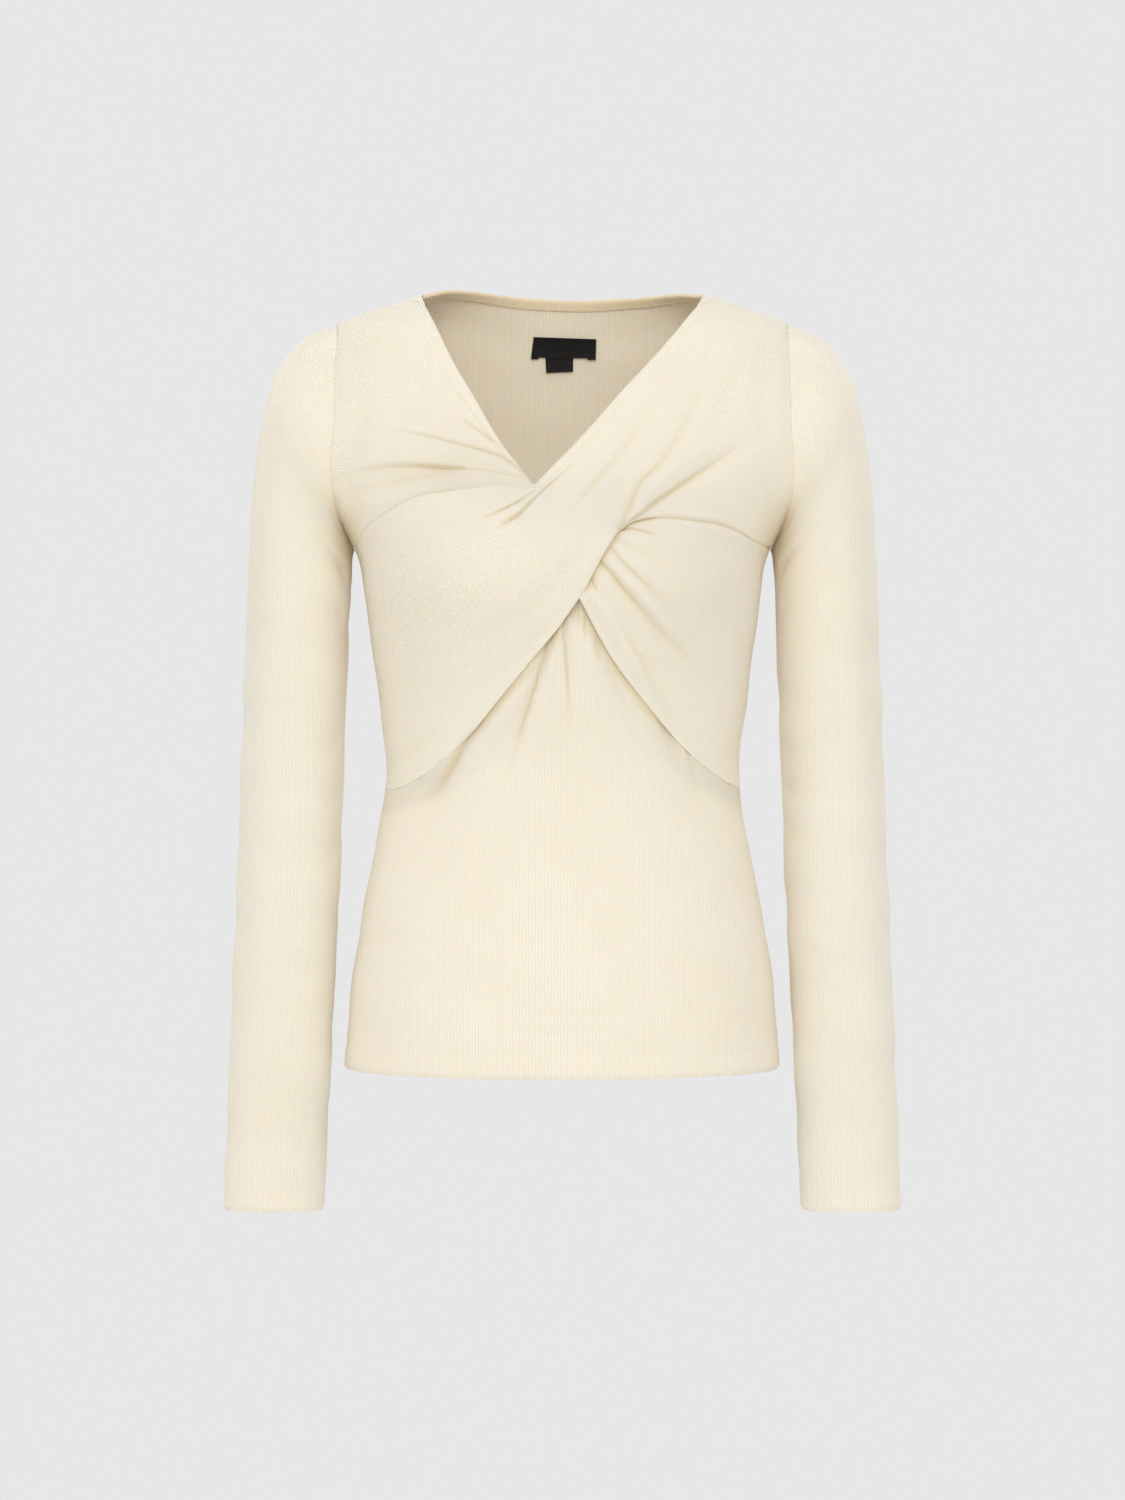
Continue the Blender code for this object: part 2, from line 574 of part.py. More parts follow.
def main():
    """Clear the scene and build every piece."""
    for old in list(bpy.data.objects):
        bpy.data.objects.remove(old)
    collection = bpy.data.collections.new(NAME)
    bpy.context.scene.collection.children.link(collection)
    back_panel = drawn_in(back())
    right_arm = sleeve()
    left_arm = right_arm * (-1, 1, 1)
    shell("front_cross_over", drawn_in(cross_over()), KNIT, RIB_KNIT, collection)
    shell("front_cross_under", drawn_in(cross_under()), KNIT, RIB_KNIT, collection)
    shell("front_lower", drawn_in(lower_front()), KNIT, RIB_KNIT, collection)
    shell("back", back_panel, KNIT, RIB_KNIT, collection)
    shell("sleeve_right", drawn_in(right_arm, tube=True), KNIT, RIB_KNIT, collection, tube=True)
    shell("sleeve_left", drawn_in(left_arm, tube=True), KNIT, RIB_KNIT, collection, tube=True)
    shell("neck_band", neck_band(back_panel), BAND_WALL, BINDING, collection)
    shell("label", tape(*LABEL_BOX), TAPE_WALL, WOVEN_TAPE, collection)
    shell("size_tab", tape(*TAB_BOX), TAPE_WALL, WOVEN_TAPE, collection)


main()
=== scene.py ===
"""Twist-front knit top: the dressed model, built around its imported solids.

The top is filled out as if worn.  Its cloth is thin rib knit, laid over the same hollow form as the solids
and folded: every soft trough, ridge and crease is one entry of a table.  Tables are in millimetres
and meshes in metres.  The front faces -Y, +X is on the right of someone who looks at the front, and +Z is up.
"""

import logging
import math
from dataclasses import dataclass
from enum import Enum
from functools import partial
from typing import Callable, Sequence

import bmesh
import bpy
import numpy as np
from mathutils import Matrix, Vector


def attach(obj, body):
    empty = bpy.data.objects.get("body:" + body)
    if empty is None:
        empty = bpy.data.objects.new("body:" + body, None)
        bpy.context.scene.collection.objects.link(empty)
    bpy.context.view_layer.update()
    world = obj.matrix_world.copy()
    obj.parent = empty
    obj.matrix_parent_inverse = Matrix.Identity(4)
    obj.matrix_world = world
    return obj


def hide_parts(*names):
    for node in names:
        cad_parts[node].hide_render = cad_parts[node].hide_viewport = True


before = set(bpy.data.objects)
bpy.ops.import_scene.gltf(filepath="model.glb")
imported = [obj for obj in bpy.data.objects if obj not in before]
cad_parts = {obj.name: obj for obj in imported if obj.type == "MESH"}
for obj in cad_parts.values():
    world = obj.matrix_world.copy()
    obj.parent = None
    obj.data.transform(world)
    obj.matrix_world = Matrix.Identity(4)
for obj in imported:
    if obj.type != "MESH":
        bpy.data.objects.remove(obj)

LOG = logging.getLogger("knit_top")
MM = 0.001
METRE = 1000.0  # mm
FULL_TURN = 2 * math.pi
WELD = 1e-5  # m
TRACK_POINTS = 900  # points of a line on the form, before it is spread along the cloth
BODY = "root"
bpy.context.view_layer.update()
LEFT, RIGHT = -np.inf, np.inf  # an x past the body's width is on its side seam

Station = tuple[float, float]
Line = tuple[Station, ...]


# ---- Shared geometry ----


def hermite(at: np.ndarray, knots: np.ndarray, values: np.ndarray, slopes: np.ndarray) -> np.ndarray:
    """Read a smooth curve through values at the knots, with the given slopes.

    Args:
        at: Where to read the curve.
        knots: Rising places of the values.
        values: One number or one row for each knot.
        slopes: Slope at each knot, shaped as the values.

    Returns:
        The values at the places asked for.
    """
    i = np.clip(np.searchsorted(knots, at) - 1, 0, len(knots) - 2)
    width = knots[i + 1] - knots[i]
    t = (at - knots[i]) / width
    if values.ndim > 1:
        width, t = width[..., None], t[..., None]
    ahead = t * t * (3 - 2 * t)
    return (
        values[i] * (1 - ahead)
        + values[i + 1] * ahead
        + slopes[i] * width * t * (1 - t) ** 2
        - slopes[i + 1] * width * t * t * (1 - t)
    )


def lengths(points: np.ndarray) -> np.ndarray:
    """Distance along a line of points, from its start."""
    return np.append(0.0, np.cumsum(np.linalg.norm(np.diff(points, axis=0), axis=1)))


def eased(value: np.ndarray | float) -> np.ndarray:
    """0 up to 0, 1 from 1 on, and smooth between."""
    t = np.clip(value, 0, 1)
    return t * t * (3 - 2 * t)


def unit(vectors: np.ndarray) -> np.ndarray:
    """The vectors at length 1."""
    least = 1e-12  # keeps a vector of no length from dividing by zero
    return vectors / np.maximum(np.linalg.norm(vectors, axis=-1, keepdims=True), least)


def joined(*legs: np.ndarray) -> np.ndarray:
    """Several rows end to end, each starting where the one before it ends."""
    return np.vstack([legs[0]] + [leg[1:] for leg in legs[1:]])


def mirrored(rows: np.ndarray) -> np.ndarray:
    """Rows of (turn, z) on the other side of the body."""
    return rows * (-1, 1)


def at_back(rows: np.ndarray) -> np.ndarray:
    """Rows of (turn, z) of the front, taken round to the back."""
    return rows * (-1, 1) + (np.pi, 0)


@dataclass(frozen=True)
class SmoothLine:
    """A smooth line through flat stations, to measure from.

    The stations are (x, z) in mm as seen from the front, or (distance round, z) on a sleeve.
    """

    stations: Line
    samples: int = 56
    side_x: float = 150.0  # where a line that runs past the side seam ends

    def measure(self, x: np.ndarray, z: np.ndarray) -> tuple[np.ndarray, np.ndarray, np.ndarray]:
        """Measure points from the line.

        Args:
            x: First coordinates of the points.
            z: Second coordinates of the points.

        Returns:
            Distance to the line, the share of the line passed at the nearest place, and which side
            of it a point is on: 1 or -1.
        """
        ends = ((math.copysign(self.side_x, a) if math.isinf(a) else a, b) for a, b in self.stations)
        rows = np.array(list(ends), dtype=float)
        knots = lengths(rows)
        places = np.linspace(0, knots[-1], self.samples + 1)
        line = hermite(places, knots, rows, np.gradient(rows, knots, axis=0))
        here, step = line[:-1], np.diff(line, axis=0)
        flat = np.stack([np.ravel(x), np.ravel(z)], axis=-1)
        best = np.full(len(flat), np.inf)
        share, side = np.zeros(len(flat)), np.ones(len(flat))
        for number, (start, along) in enumerate(zip(here, step)):
            away = flat - start
            t = np.clip(away @ along / (along @ along), 0, 1)
            off = away - t[:, None] * along
            distance = np.hypot(off[:, 0], off[:, 1])
            nearer = distance < best
            best[nearer] = distance[nearer]
            share[nearer] = (number + t[nearer]) / self.samples
            side[nearer] = np.sign(along[0] * off[nearer, 1] - along[1] * off[nearer, 0])
        shape = np.shape(x)
        return best.reshape(shape), share.reshape(shape), side.reshape(shape)


@dataclass
class Relief:
    """What folding does to cloth at each of its points, and the shade painted there."""

    out: np.ndarray  # how far it pushes the point out, mm
    painted_shade: np.ndarray  # how much golden shade is painted at the point: 1 in a full crease, and more in a pocket


@dataclass(frozen=True)
class Fold:
    """A trough in the cloth, or a ridge where its depths are below zero.

    depths and widths, in mm, hold at even places from the first station of the path to the last.  lean
    widens the fold on the left of its path and narrows it on the right.  crisp is 2 for a soft fold and
    towards 1 for a pressed crease.  reach is how many widths away the fold has died out.  The golden shade
    painted along a trough spreads over a share of its width, and a least width in mm.
    """

    path: Line
    depths: tuple[float, ...]
    widths: tuple[float, ...]
    lean: float = 0.0
    crisp: float = 2.0
    steep: float = 1.8  # depth over width where a trough counts as a full crease, with its full painted shade
    reach: float = 6.0
    shade_mark_share: float = 0.5
    shade_mark_least: float = 0.3

    def relief(self, x: np.ndarray, z: np.ndarray) -> Relief:
        """What the fold does to points of the cloth.

        Args:
            x: First coordinates of the points.
            z: Second coordinates of the points.

        Returns:
            How far it pushes each point out, and how much golden shade it paints on it.
        """
        done = Relief(np.zeros(np.shape(x)), np.zeros(np.shape(x)))
        reach = self.reach * max(self.widths)
        path = np.array(self.path, dtype=float)
        (left, low), (right, high) = path.min(axis=0) - reach, path.max(axis=0) + reach
        inside = (x > left) & (x < right) & (z > low) & (z < high)
        off, share, side = SmoothLine(self.path).measure(x[inside], z[inside])
        depth = np.interp(share, np.linspace(0, 1, len(self.depths)), self.depths)
        width = np.interp(share, np.linspace(0, 1, len(self.widths)), self.widths)
        steep = np.clip(depth / width / self.steep, 0, 1)
        # painted shade: golden along the trough, fuller where it is steep
        done.painted_shade[inside] = steep * np.exp(-((off / (self.shade_mark_share * width + self.shade_mark_least)) ** 2))
        done.out[inside] = -depth * np.exp(-((off / (width * (1 + self.lean * side))) ** self.crisp))
        return done


@dataclass(frozen=True)
class Wave:
    """A long, low ripple of slack cloth: its length and height in mm, its direction and its start."""

    length: float
    height: float
    angle: float
    phase: float

    def relief(self, x: np.ndarray, z: np.ndarray) -> Relief:
        """What the ripple does to points of the cloth.

        Args:
            x: First coordinates of the points.
            z: Second coordinates of the points.

        Returns:
            How far it pushes each point out.
        """
        along = x * math.cos(self.angle) + z * math.sin(self.angle)
        out = self.height * np.sin(FULL_TURN * along / self.length + self.phase)
        return Relief(out, np.zeros(np.shape(x)))


def folded(x: np.ndarray, z: np.ndarray, shapes: Sequence[Fold | Wave]) -> Relief:
    """What several folds and ripples together do to points of the cloth."""
    done = [shape.relief(x, z) for shape in shapes]
    return Relief(sum(one.out for one in done), np.max([one.painted_shade for one in done], axis=0))


def turned_under(inside: np.ndarray, radius: float) -> np.ndarray:
    """How far cloth drops near an edge that rolls under, mm, from how far inside the edge it lies."""
    return np.sqrt(radius**2 - np.clip(radius - inside, 0, radius) ** 2) - radius


def rolled(x: np.ndarray, z: np.ndarray, edge: Line, radius: float) -> np.ndarray:
    """How far cloth drops where it turns under along an edge, mm, as a share of a circle."""
    return turned_under(SmoothLine(edge).measure(x, z)[0], radius)


def near(x: np.ndarray, z: np.ndarray, line: Line, reach: float) -> np.ndarray:
    """1 on a line and 0 away from it."""
    return np.exp(-((SmoothLine(line).measure(x, z)[0] / reach) ** 2))


@dataclass(frozen=True)
class TurnedHem:
    """The double band of a turned hem, and the groove that its stitching pulls, mm."""

    tall: float  # from the edge to the stitching
    rise: float  # how far the double cloth stands up
    ramp: float  # how soon it gets there
    groove: float
    groove_wide: float

    def step(self, inside: np.ndarray) -> np.ndarray:
        """How far the hem moves the cloth out, from how far inside the edge it lies."""
        past = inside - self.tall
        return self.rise * eased(-past / self.ramp) - self.groove * np.exp(-((past / self.groove_wide) ** 2))


# ---- The hollow form that the cloth lies on ----


@dataclass(frozen=True)
class Level:
    """One section of the body: its height, half its width, and its depth in front and behind, mm."""

    z: float
    half_width: float
    front: float
    back: float


@dataclass(frozen=True)
class WornForm:
    """The hollow form of the top when it is worn, as smooth sections from the hem to the neck."""

    roundness: float = 2.25  # exponent of a section: 2 is an ellipse, more is squarer
    bust_x: float = 70.0
    bust_z: float = -212.0
    bust_wide: float = 46.0
    bust_tall: float = 52.0
    bust_rise: float = 13.0
    unroll: float = 120.0  # mm of cloth to a radian of turn, about
    height_steps: int = 600  # places where the side seam's own length is read
    coarse_rounds: int = 300  # rounds of relaxing a coarse grid
    fine_rounds: int = 90  # and then the fine one
    levels: tuple[Level, ...] = (
        Level(-556.0, 156.0, 104.0, 107.0),
        Level(-500.0, 152.5, 102.0, 101.0),
        Level(-450.0, 145.0, 97.0, 90.0),
        Level(-400.0, 135.0, 91.0, 76.0),
        Level(-350.0, 127.0, 89.0, 69.0),
        Level(-290.0, 132.5, 102.0, 74.0),
        Level(-250.0, 138.0, 115.0, 82.0),
        Level(-215.0, 143.0, 123.0, 89.0),
        Level(-185.0, 149.0, 122.0, 93.0),
        Level(-165.0, 161.0, 118.0, 94.0),
        Level(-140.0, 178.0, 111.0, 94.0),
        Level(-100.0, 190.0, 97.0, 91.0),
        Level(-70.0, 187.0, 82.0, 85.0),
        Level(-45.0, 178.0, 68.0, 79.0),
        Level(-21.5, 162.0, 54.0, 72.0),
        Level(-14.0, 143.0, 48.0, 69.0),
        Level(-6.0, 118.0, 41.0, 66.0),
        Level(2.0, 96.0, 34.0, 63.0),
        Level(10.0, 74.0, 28.0, 60.0),
    )

    def size_at(self, column: str, z: np.ndarray) -> np.ndarray:
        """A column of the levels at height z, smoothly between its rows.

        Args:
            column: Name of a field of Level.
            z: Heights, mm.

        Returns:
            The field's value at each height, mm.
        """
        heights = np.array([level.z for level in self.levels])
        values = np.array([getattr(level, column) for level in self.levels])
        return hermite(np.clip(z, heights[0], heights[-1]), heights, values, np.gradient(values, heights))

    def rounded(self, value: np.ndarray) -> np.ndarray:
        """Sine or cosine, bent for the squarish sections."""
        return np.sign(value) * np.abs(value) ** (2 / self.roundness)

    def point(self, turn: np.ndarray, z: np.ndarray) -> np.ndarray:
        """Points on the form.

        Args:
            turn: 0 at the front's middle and a quarter turn at the right side seam, radians.
            z: Heights, mm.

        Returns:
            The points, mm.
        """
        sine, cosine = np.sin(turn), np.cos(turn)
        depth = np.where(cosine > 0, self.size_at("front", z), self.size_at("back", z))
        x = self.size_at("half_width", z) * self.rounded(sine)
        bust = np.exp(
            -(((np.abs(x) - self.bust_x) / self.bust_wide) ** 2) - ((z - self.bust_z) / self.bust_tall) ** 2
        )
        y = -depth * self.rounded(cosine) - self.bust_rise * bust * np.clip(cosine, 0, 1)
        return np.stack([x, y, z], axis=-1)

    def outward(self, turn: np.ndarray, z: np.ndarray) -> np.ndarray:
        """Unit vectors that point out of the form.

        Args:
            turn: Turns of the points.
            z: Their heights, mm.

        Returns:
            A vector for each point.
        """
        step = 1e-3  # radians round and mm up
        around = self.point(turn + step, z) - self.point(turn - step, z)
        up = self.point(turn, z + step) - self.point(turn, z - step)
        return unit(np.cross(around, up))

    def turn_at(self, x: np.ndarray, z: np.ndarray, back: bool = False) -> np.ndarray:
        """The turn of a point of the front, or of the back, that has this x.

        Args:
            x: Across, mm.
            z: Height, mm.
            back: Whether the points are on the back.

        Returns:
            Their turns, radians.
        """
        share = np.clip(np.abs(x) / self.size_at("half_width", z), 0, 1)
        turn = np.sign(x) * np.arcsin(share ** (self.roundness / 2))
        return np.pi - turn if back else turn

    def track(self, stations: Line, back: bool = False) -> np.ndarray:
        """A smooth line on the form through (x, z) stations, as close rows of (turn, z).

        Args:
            stations: (x, z) in mm, as seen from the front.
            back: Whether the line is on the back.

        Returns:
            Close rows of (turn, z).
        """
        x, z = np.array(stations, dtype=float).T
        half_width = self.size_at("half_width", z)
        rows = np.stack([np.clip(x, -half_width, half_width), z], axis=-1)
        knots = lengths(self.point(self.turn_at(rows[:, 0], rows[:, 1], back), z))
        slopes = np.gradient(rows, knots, axis=0)
        x, z = hermite(np.linspace(0, knots[-1], TRACK_POINTS), knots, rows, slopes).T
        return np.stack([self.turn_at(x, z, back), z], axis=-1)

    def spread(self, line: np.ndarray, steps: int, crowd: float = 0.0) -> np.ndarray:
        """Rows along a track at even steps, or closer together at both ends.

        Args:
            line: Close rows of (turn, z).
            steps: How many steps to divide the line into.
            crowd: How much shorter the steps are at both ends.

        Returns:
            Rows of (turn, z), one more than the steps.
        """
        share = np.linspace(0, 1, steps + 1)
        share = share + crowd * ((1 - np.cos(np.pi * share)) / 2 - share)
        run = lengths(self.point(line[:, 0], line[:, 1]))
        return np.stack([np.interp(share * run[-1], run, column) for column in line.T], axis=-1)

    def relaxed(self, grid: np.ndarray, rounds: int) -> np.ndarray:
        """The grid with its inner points moved until its cells are even and none folds over (Winslow).

        Args:
            grid: Rows and columns of (turn, z).
            rounds: How often its inner points move.

        Returns:
            The grid of (turn, z), settled.
        """
        heights = np.linspace(self.levels[0].z, self.levels[-1].z, self.height_steps)
        run = lengths(self.point(np.full_like(heights, np.pi / 2), heights))
        points = np.stack([grid[..., 0] * self.unroll, np.interp(grid[..., 1], heights, run)], axis=-1)
        for _ in range(rounds):
            right, left = points[1:-1, 2:], points[1:-1, :-2]
            below, above = points[2:, 1:-1], points[:-2, 1:-1]
            across, down = (right - left) / 2, (below - above) / 2
            wide = (down**2).sum(axis=-1, keepdims=True)
            tall = (across**2).sum(axis=-1, keepdims=True)
            skew = (across * down).sum(axis=-1, keepdims=True)
            twist = (points[2:, 2:] - points[2:, :-2] - points[:-2, 2:] + points[:-2, :-2]) / 4
            points[1:-1, 1:-1] = (wide * (right + left) + tall * (below + above) - 2 * skew * twist) / (
                2 * (wide + tall)
            )
        return np.stack([points[..., 0] / self.unroll, np.interp(points[..., 1], run, heights)], axis=-1)

    def between(self, edges: Sequence[np.ndarray]) -> np.ndarray:
        """Rows and columns of (turn, z) blended from four edges: top, bottom, start and end.

        Args:
            edges: Rows of (turn, z) for the top, the bottom, the start and the end.

        Returns:
            Rows and columns of (turn, z).
        """
        top, bottom, start, end = edges
        along = [lengths(self.point(edge[:, 0], edge[:, 1])) for edge in edges]
        along = [run / run[-1] for run in along]
        u, v = ((along[0] + along[1]) / 2)[None, :, None], ((along[2] + along[3]) / 2)[:, None, None]
        blend = (1 - v) * top[None] + v * bottom[None] + (1 - u) * start[:, None] + u * end[:, None]
        corners = (1 - u) * ((1 - v) * top[0] + v * bottom[0]) + u * ((1 - v) * top[-1] + v * bottom[-1])
        return blend - corners

    def patch(self, edges: Sequence[np.ndarray], along: int, down: int) -> np.ndarray:
        """Fill four edges that meet at their corners.

        Args:
            edges: Rows of (turn, z) along the top and the bottom, and down the start and the end.
            along: The grid is first settled with this many times fewer columns.
            down: And with this many times fewer rows.

        Returns:
            A fine grid of (turn, z).
        """
        coarse = [edge[::step] for edge, step in zip(edges, (along, along, down, down))]
        grid = self.relaxed(self.between(coarse), self.coarse_rounds)
        for axis, step in ((0, down), (1, along)):
            count = grid.shape[axis]
            at = np.linspace(0, count - 1, (count - 1) * step + 1)
            low = np.minimum(at.astype(int), count - 2)
            part = (at - low).reshape((-1, 1, 1) if axis == 0 else (1, -1, 1))
            grid = np.take(grid, low, axis) * (1 - part) + np.take(grid, low + 1, axis) * part
        grid[0], grid[-1], grid[:, 0], grid[:, -1] = edges
        return self.relaxed(grid, self.fine_rounds)

    def moved_out(self, grid: np.ndarray, off: Callable[[np.ndarray, np.ndarray], np.ndarray]) -> np.ndarray:
        """Points of a (turn, z) grid on the form, moved out by off(x, z), mm.

        Args:
            grid: Rows and columns of (turn, z).
            off: How far out a point at (x, z) lies, mm.

        Returns:
            Rows and columns of points, mm.
        """
        points = self.point(grid[..., 0], grid[..., 1])
        distance = off(points[..., 0], points[..., 2])
        return points + self.outward(grid[..., 0], grid[..., 1]) * distance[..., None]


# ---- Finishes ----


def linear(colour: str) -> tuple[float, float, float, float]:
    """A colour given as an sRGB hex value, in linear light."""
    parts = [int(colour[i : i + 2], 16) / 255 for i in (1, 3, 5)]
    return (*(c / 12.92 if c <= 0.04045 else ((c + 0.055) / 1.055) ** 2.4 for c in parts), 1.0)


def set_inputs(tree: bpy.types.NodeTree, node: bpy.types.Node, sockets: dict[int | str, object]) -> None:
    """Set or link the inputs of a node.

    Args:
        tree: The tree that the node is in.
        node: The node.
        sockets: By an input's name or number, its value, or the output or the node to link to it.
    """
    for name, value in sockets.items():
        if isinstance(value, bpy.types.Node):
            value = value.outputs[0]
        if isinstance(value, bpy.types.NodeSocket):
            tree.links.new(value, node.inputs[name])
        else:
            node.inputs[name].default_value = value


def add_node(
    tree: bpy.types.NodeTree, kind: str, sockets: dict[int | str, object] | None = None, **settings: object
) -> bpy.types.Node:
    """Add a node to a tree.

    Args:
        tree: The tree to add to.
        kind: The node's type name.
        sockets: What set_inputs does with its inputs.
        **settings: Properties of the node.

    Returns:
        The new node.
    """
    node = tree.nodes.new(kind)
    for name, value in settings.items():
        setattr(node, name, value)
    set_inputs(tree, node, sockets or {})
    return node


def new_material(name: str) -> tuple[bpy.types.Material, bpy.types.NodeTree, bpy.types.Node]:
    """Start a material.

    Args:
        name: What it is called.

    Returns:
        The material, its node tree and the Principled shader in it.
    """
    made = bpy.data.materials.new(name)
    made.use_nodes = True
    return made, made.node_tree, made.node_tree.nodes["Principled BSDF"]


@dataclass(frozen=True)
class RibKnit:
    """Fine cotton-viscose rib knit: soft, matt, with upright ribs and a slight fuzz that lights its edges.

    The real ribs are about 1.7 mm apart, too fine to show from here, so they are drawn 2.2 mm apart.  The
    map on the cloth gives the distance across the ribs and along them, in mm.  Golden shade is painted into
    the creases and pockets, as light through several layers of the cream yarn: an attribute says how much.
    """

    name: str
    crest: str = "#F6EEE0"
    # painted shade: the grooves between the ribs are coloured darker than the crests
    groove: str = "#EADEC8"
    warm: str = "#F0E3CC"
    # painted shade: the golden colour that creases, pockets, seams and underarms are tinted towards
    painted_shade_colour: str = "#DCC896"
    nap: str = "#FFF6E6"  # tint of the fuzz
    rib: float = 2.2
    rib_wander: float = 0.35  # how far a rib drifts sideways, over the size of a drift
    drift_size: float = 26.3  # mm
    crest_power: float = 0.45  # under 1, a rib's crest is wider than the groove beside it
    course: float = 2.0  # height of one row of stitches, drawn as coarse as the ribs
    loop_slant: float = 1.3  # radians by which a stitch's legs rise from the groove to the crest
    loop_rise: float = 0.22  # height of a stitch and of the fuzz, as shares of a rib's
    fuzz_rise: float = 0.25
    fuzz_size: float = 1.111  # mm between tufts of loose fibre
    depth: float = 0.35  # mm
    warm_size: float = 71.4  # mm, of the patches where the yarn is warmer
    warm_share: float = 0.45
    # how far a full painted shade goes towards that golden colour
    painted_shade_share: float = 0.55
    roughness: float = 0.86

    def material(self) -> bpy.types.Material:
        """Build the knit's material.

        Returns:
            The material.
        """
        made, tree, shader = new_material(self.name)
        add = partial(add_node, tree)
        apart = add("ShaderNodeSeparateXYZ", {0: add("ShaderNodeUVMap", uv_map="knit")}).outputs
        place = add("ShaderNodeTexCoord").outputs["Object"]
        drift, patch, fuzz = (
            add("ShaderNodeTexNoise", {"Vector": place, "Scale": METRE / size, "Detail": detail})
            for size, detail in ((self.drift_size, 2.0), (self.warm_size, 3.0), (self.fuzz_size, 2.0))
        )
        wander = add("ShaderNodeMath", {0: drift, 1: self.rib_wander, 2: apart[0]}, operation="MULTIPLY_ADD")
        across = add("ShaderNodeMath", {0: wander, 1: FULL_TURN / self.rib}, operation="MULTIPLY")
        wave = add("ShaderNodeMath", {0: across}, operation="COSINE")
        ribs = add("ShaderNodeMath", {0: wave, 1: 0.5, 2: 0.5}, operation="MULTIPLY_ADD")
        slope = add("ShaderNodeMath", {0: across}, operation="SINE")
        legs = add("ShaderNodeMath", {0: slope}, operation="ABSOLUTE")
        lean = add("ShaderNodeMath", {0: legs, 1: self.loop_slant}, operation="MULTIPLY")
        courses = {0: apart[1], 1: FULL_TURN / self.course, 2: lean}
        up = add("ShaderNodeMath", courses, operation="MULTIPLY_ADD")
        row = add("ShaderNodeMath", {0: up}, operation="SINE")
        loops = add("ShaderNodeMath", {0: row, 1: 0.5, 2: 0.5}, operation="MULTIPLY_ADD")
        knitted = add("ShaderNodeMath", {0: loops, 1: self.loop_rise, 2: ribs}, operation="MULTIPLY_ADD")
        height = add("ShaderNodeMath", {0: fuzz, 1: self.fuzz_rise, 2: knitted}, operation="MULTIPLY_ADD")
        bump = add("ShaderNodeBump", {"Strength": 0.55, "Distance": self.depth * MM, "Height": height})
        # painted shade: darker colour in the rib grooves, lighter on the crests
        crests = add("ShaderNodeMath", {0: ribs, 1: self.crest_power}, operation="POWER")
        tones = {0: crests, 6: linear(self.groove), 7: linear(self.crest)}
        cream = add("ShaderNodeMix", tones, data_type="RGBA").outputs[2]
        patches = add("ShaderNodeMapRange", {"Value": patch, "From Min": 0.35, "From Max": 0.75})
        warmth = add("ShaderNodeMath", {0: patches, 1: self.warm_share}, operation="MULTIPLY")
        plain = add("ShaderNodeMix", {0: warmth, 6: cream, 7: linear(self.warm)}, data_type="RGBA").outputs[2]
        # painted shade: the base colour turns golden where the attribute read here marks a crease or pocket
        painted_shade = add("ShaderNodeAttribute", attribute_name="painted_shade").outputs["Fac"]
        painted_shade_mix = add("ShaderNodeMath", {0: painted_shade, 1: self.painted_shade_share}, operation="MULTIPLY")
        tone = add("ShaderNodeMix", {0: painted_shade_mix, 6: plain, 7: linear(self.painted_shade_colour)}, data_type="RGBA")
        looks = {
            "Base Color": tone.outputs[2],
            "Normal": bump,
            "Roughness": self.roughness,
            "Specular IOR Level": 0.25,
            "Subsurface Weight": 0.4,
            "Subsurface Radius": (1.0, 0.72, 0.42),
            "Subsurface Scale": 0.0012,
            "Sheen Weight": 0.25,
            "Sheen Roughness": 0.55,
            "Sheen Tint": linear(self.nap),
        }
        set_inputs(tree, shader, looks)
        return made


@dataclass(frozen=True)
class KnitBinding:
    """Narrow jersey binding, cut along the ribs and pressed flat: smoother and more golden than the body."""

    name: str
    colour: str = "#F4E3C2"
    shade: str = "#E7D1A9"
    rib: float = 1.8
    depth: float = 0.2  # mm
    fuzz_rise: float = 0.6  # as a share of a rib's height
    fuzz_size: float = 3.85  # mm
    roughness: float = 0.8

    def material(self) -> bpy.types.Material:
        """Build the binding's material.

        Returns:
            The material.
        """
        made, tree, shader = new_material(self.name)
        add = partial(add_node, tree)
        apart = add("ShaderNodeSeparateXYZ", {0: add("ShaderNodeUVMap", uv_map="knit")}).outputs
        place = add("ShaderNodeTexCoord").outputs["Object"]
        fuzz = add("ShaderNodeTexNoise", {"Vector": place, "Scale": METRE / self.fuzz_size, "Detail": 3.0})
        across = add("ShaderNodeMath", {0: apart[0], 1: FULL_TURN / self.rib}, operation="MULTIPLY")
        wave = add("ShaderNodeMath", {0: across}, operation="COSINE")
        height = add("ShaderNodeMath", {0: fuzz, 1: self.fuzz_rise, 2: wave}, operation="MULTIPLY_ADD")
        bump = add("ShaderNodeBump", {"Strength": 0.35, "Distance": self.depth * MM, "Height": height})
        tones = {0: fuzz, 6: linear(self.shade), 7: linear(self.colour)}
        tone = add("ShaderNodeMix", tones, data_type="RGBA")
        looks = {
            "Base Color": tone.outputs[2],
            "Normal": bump,
            "Roughness": self.roughness,
            "Sheen Weight": 0.2,
        }
        set_inputs(tree, shader, looks)
        return made


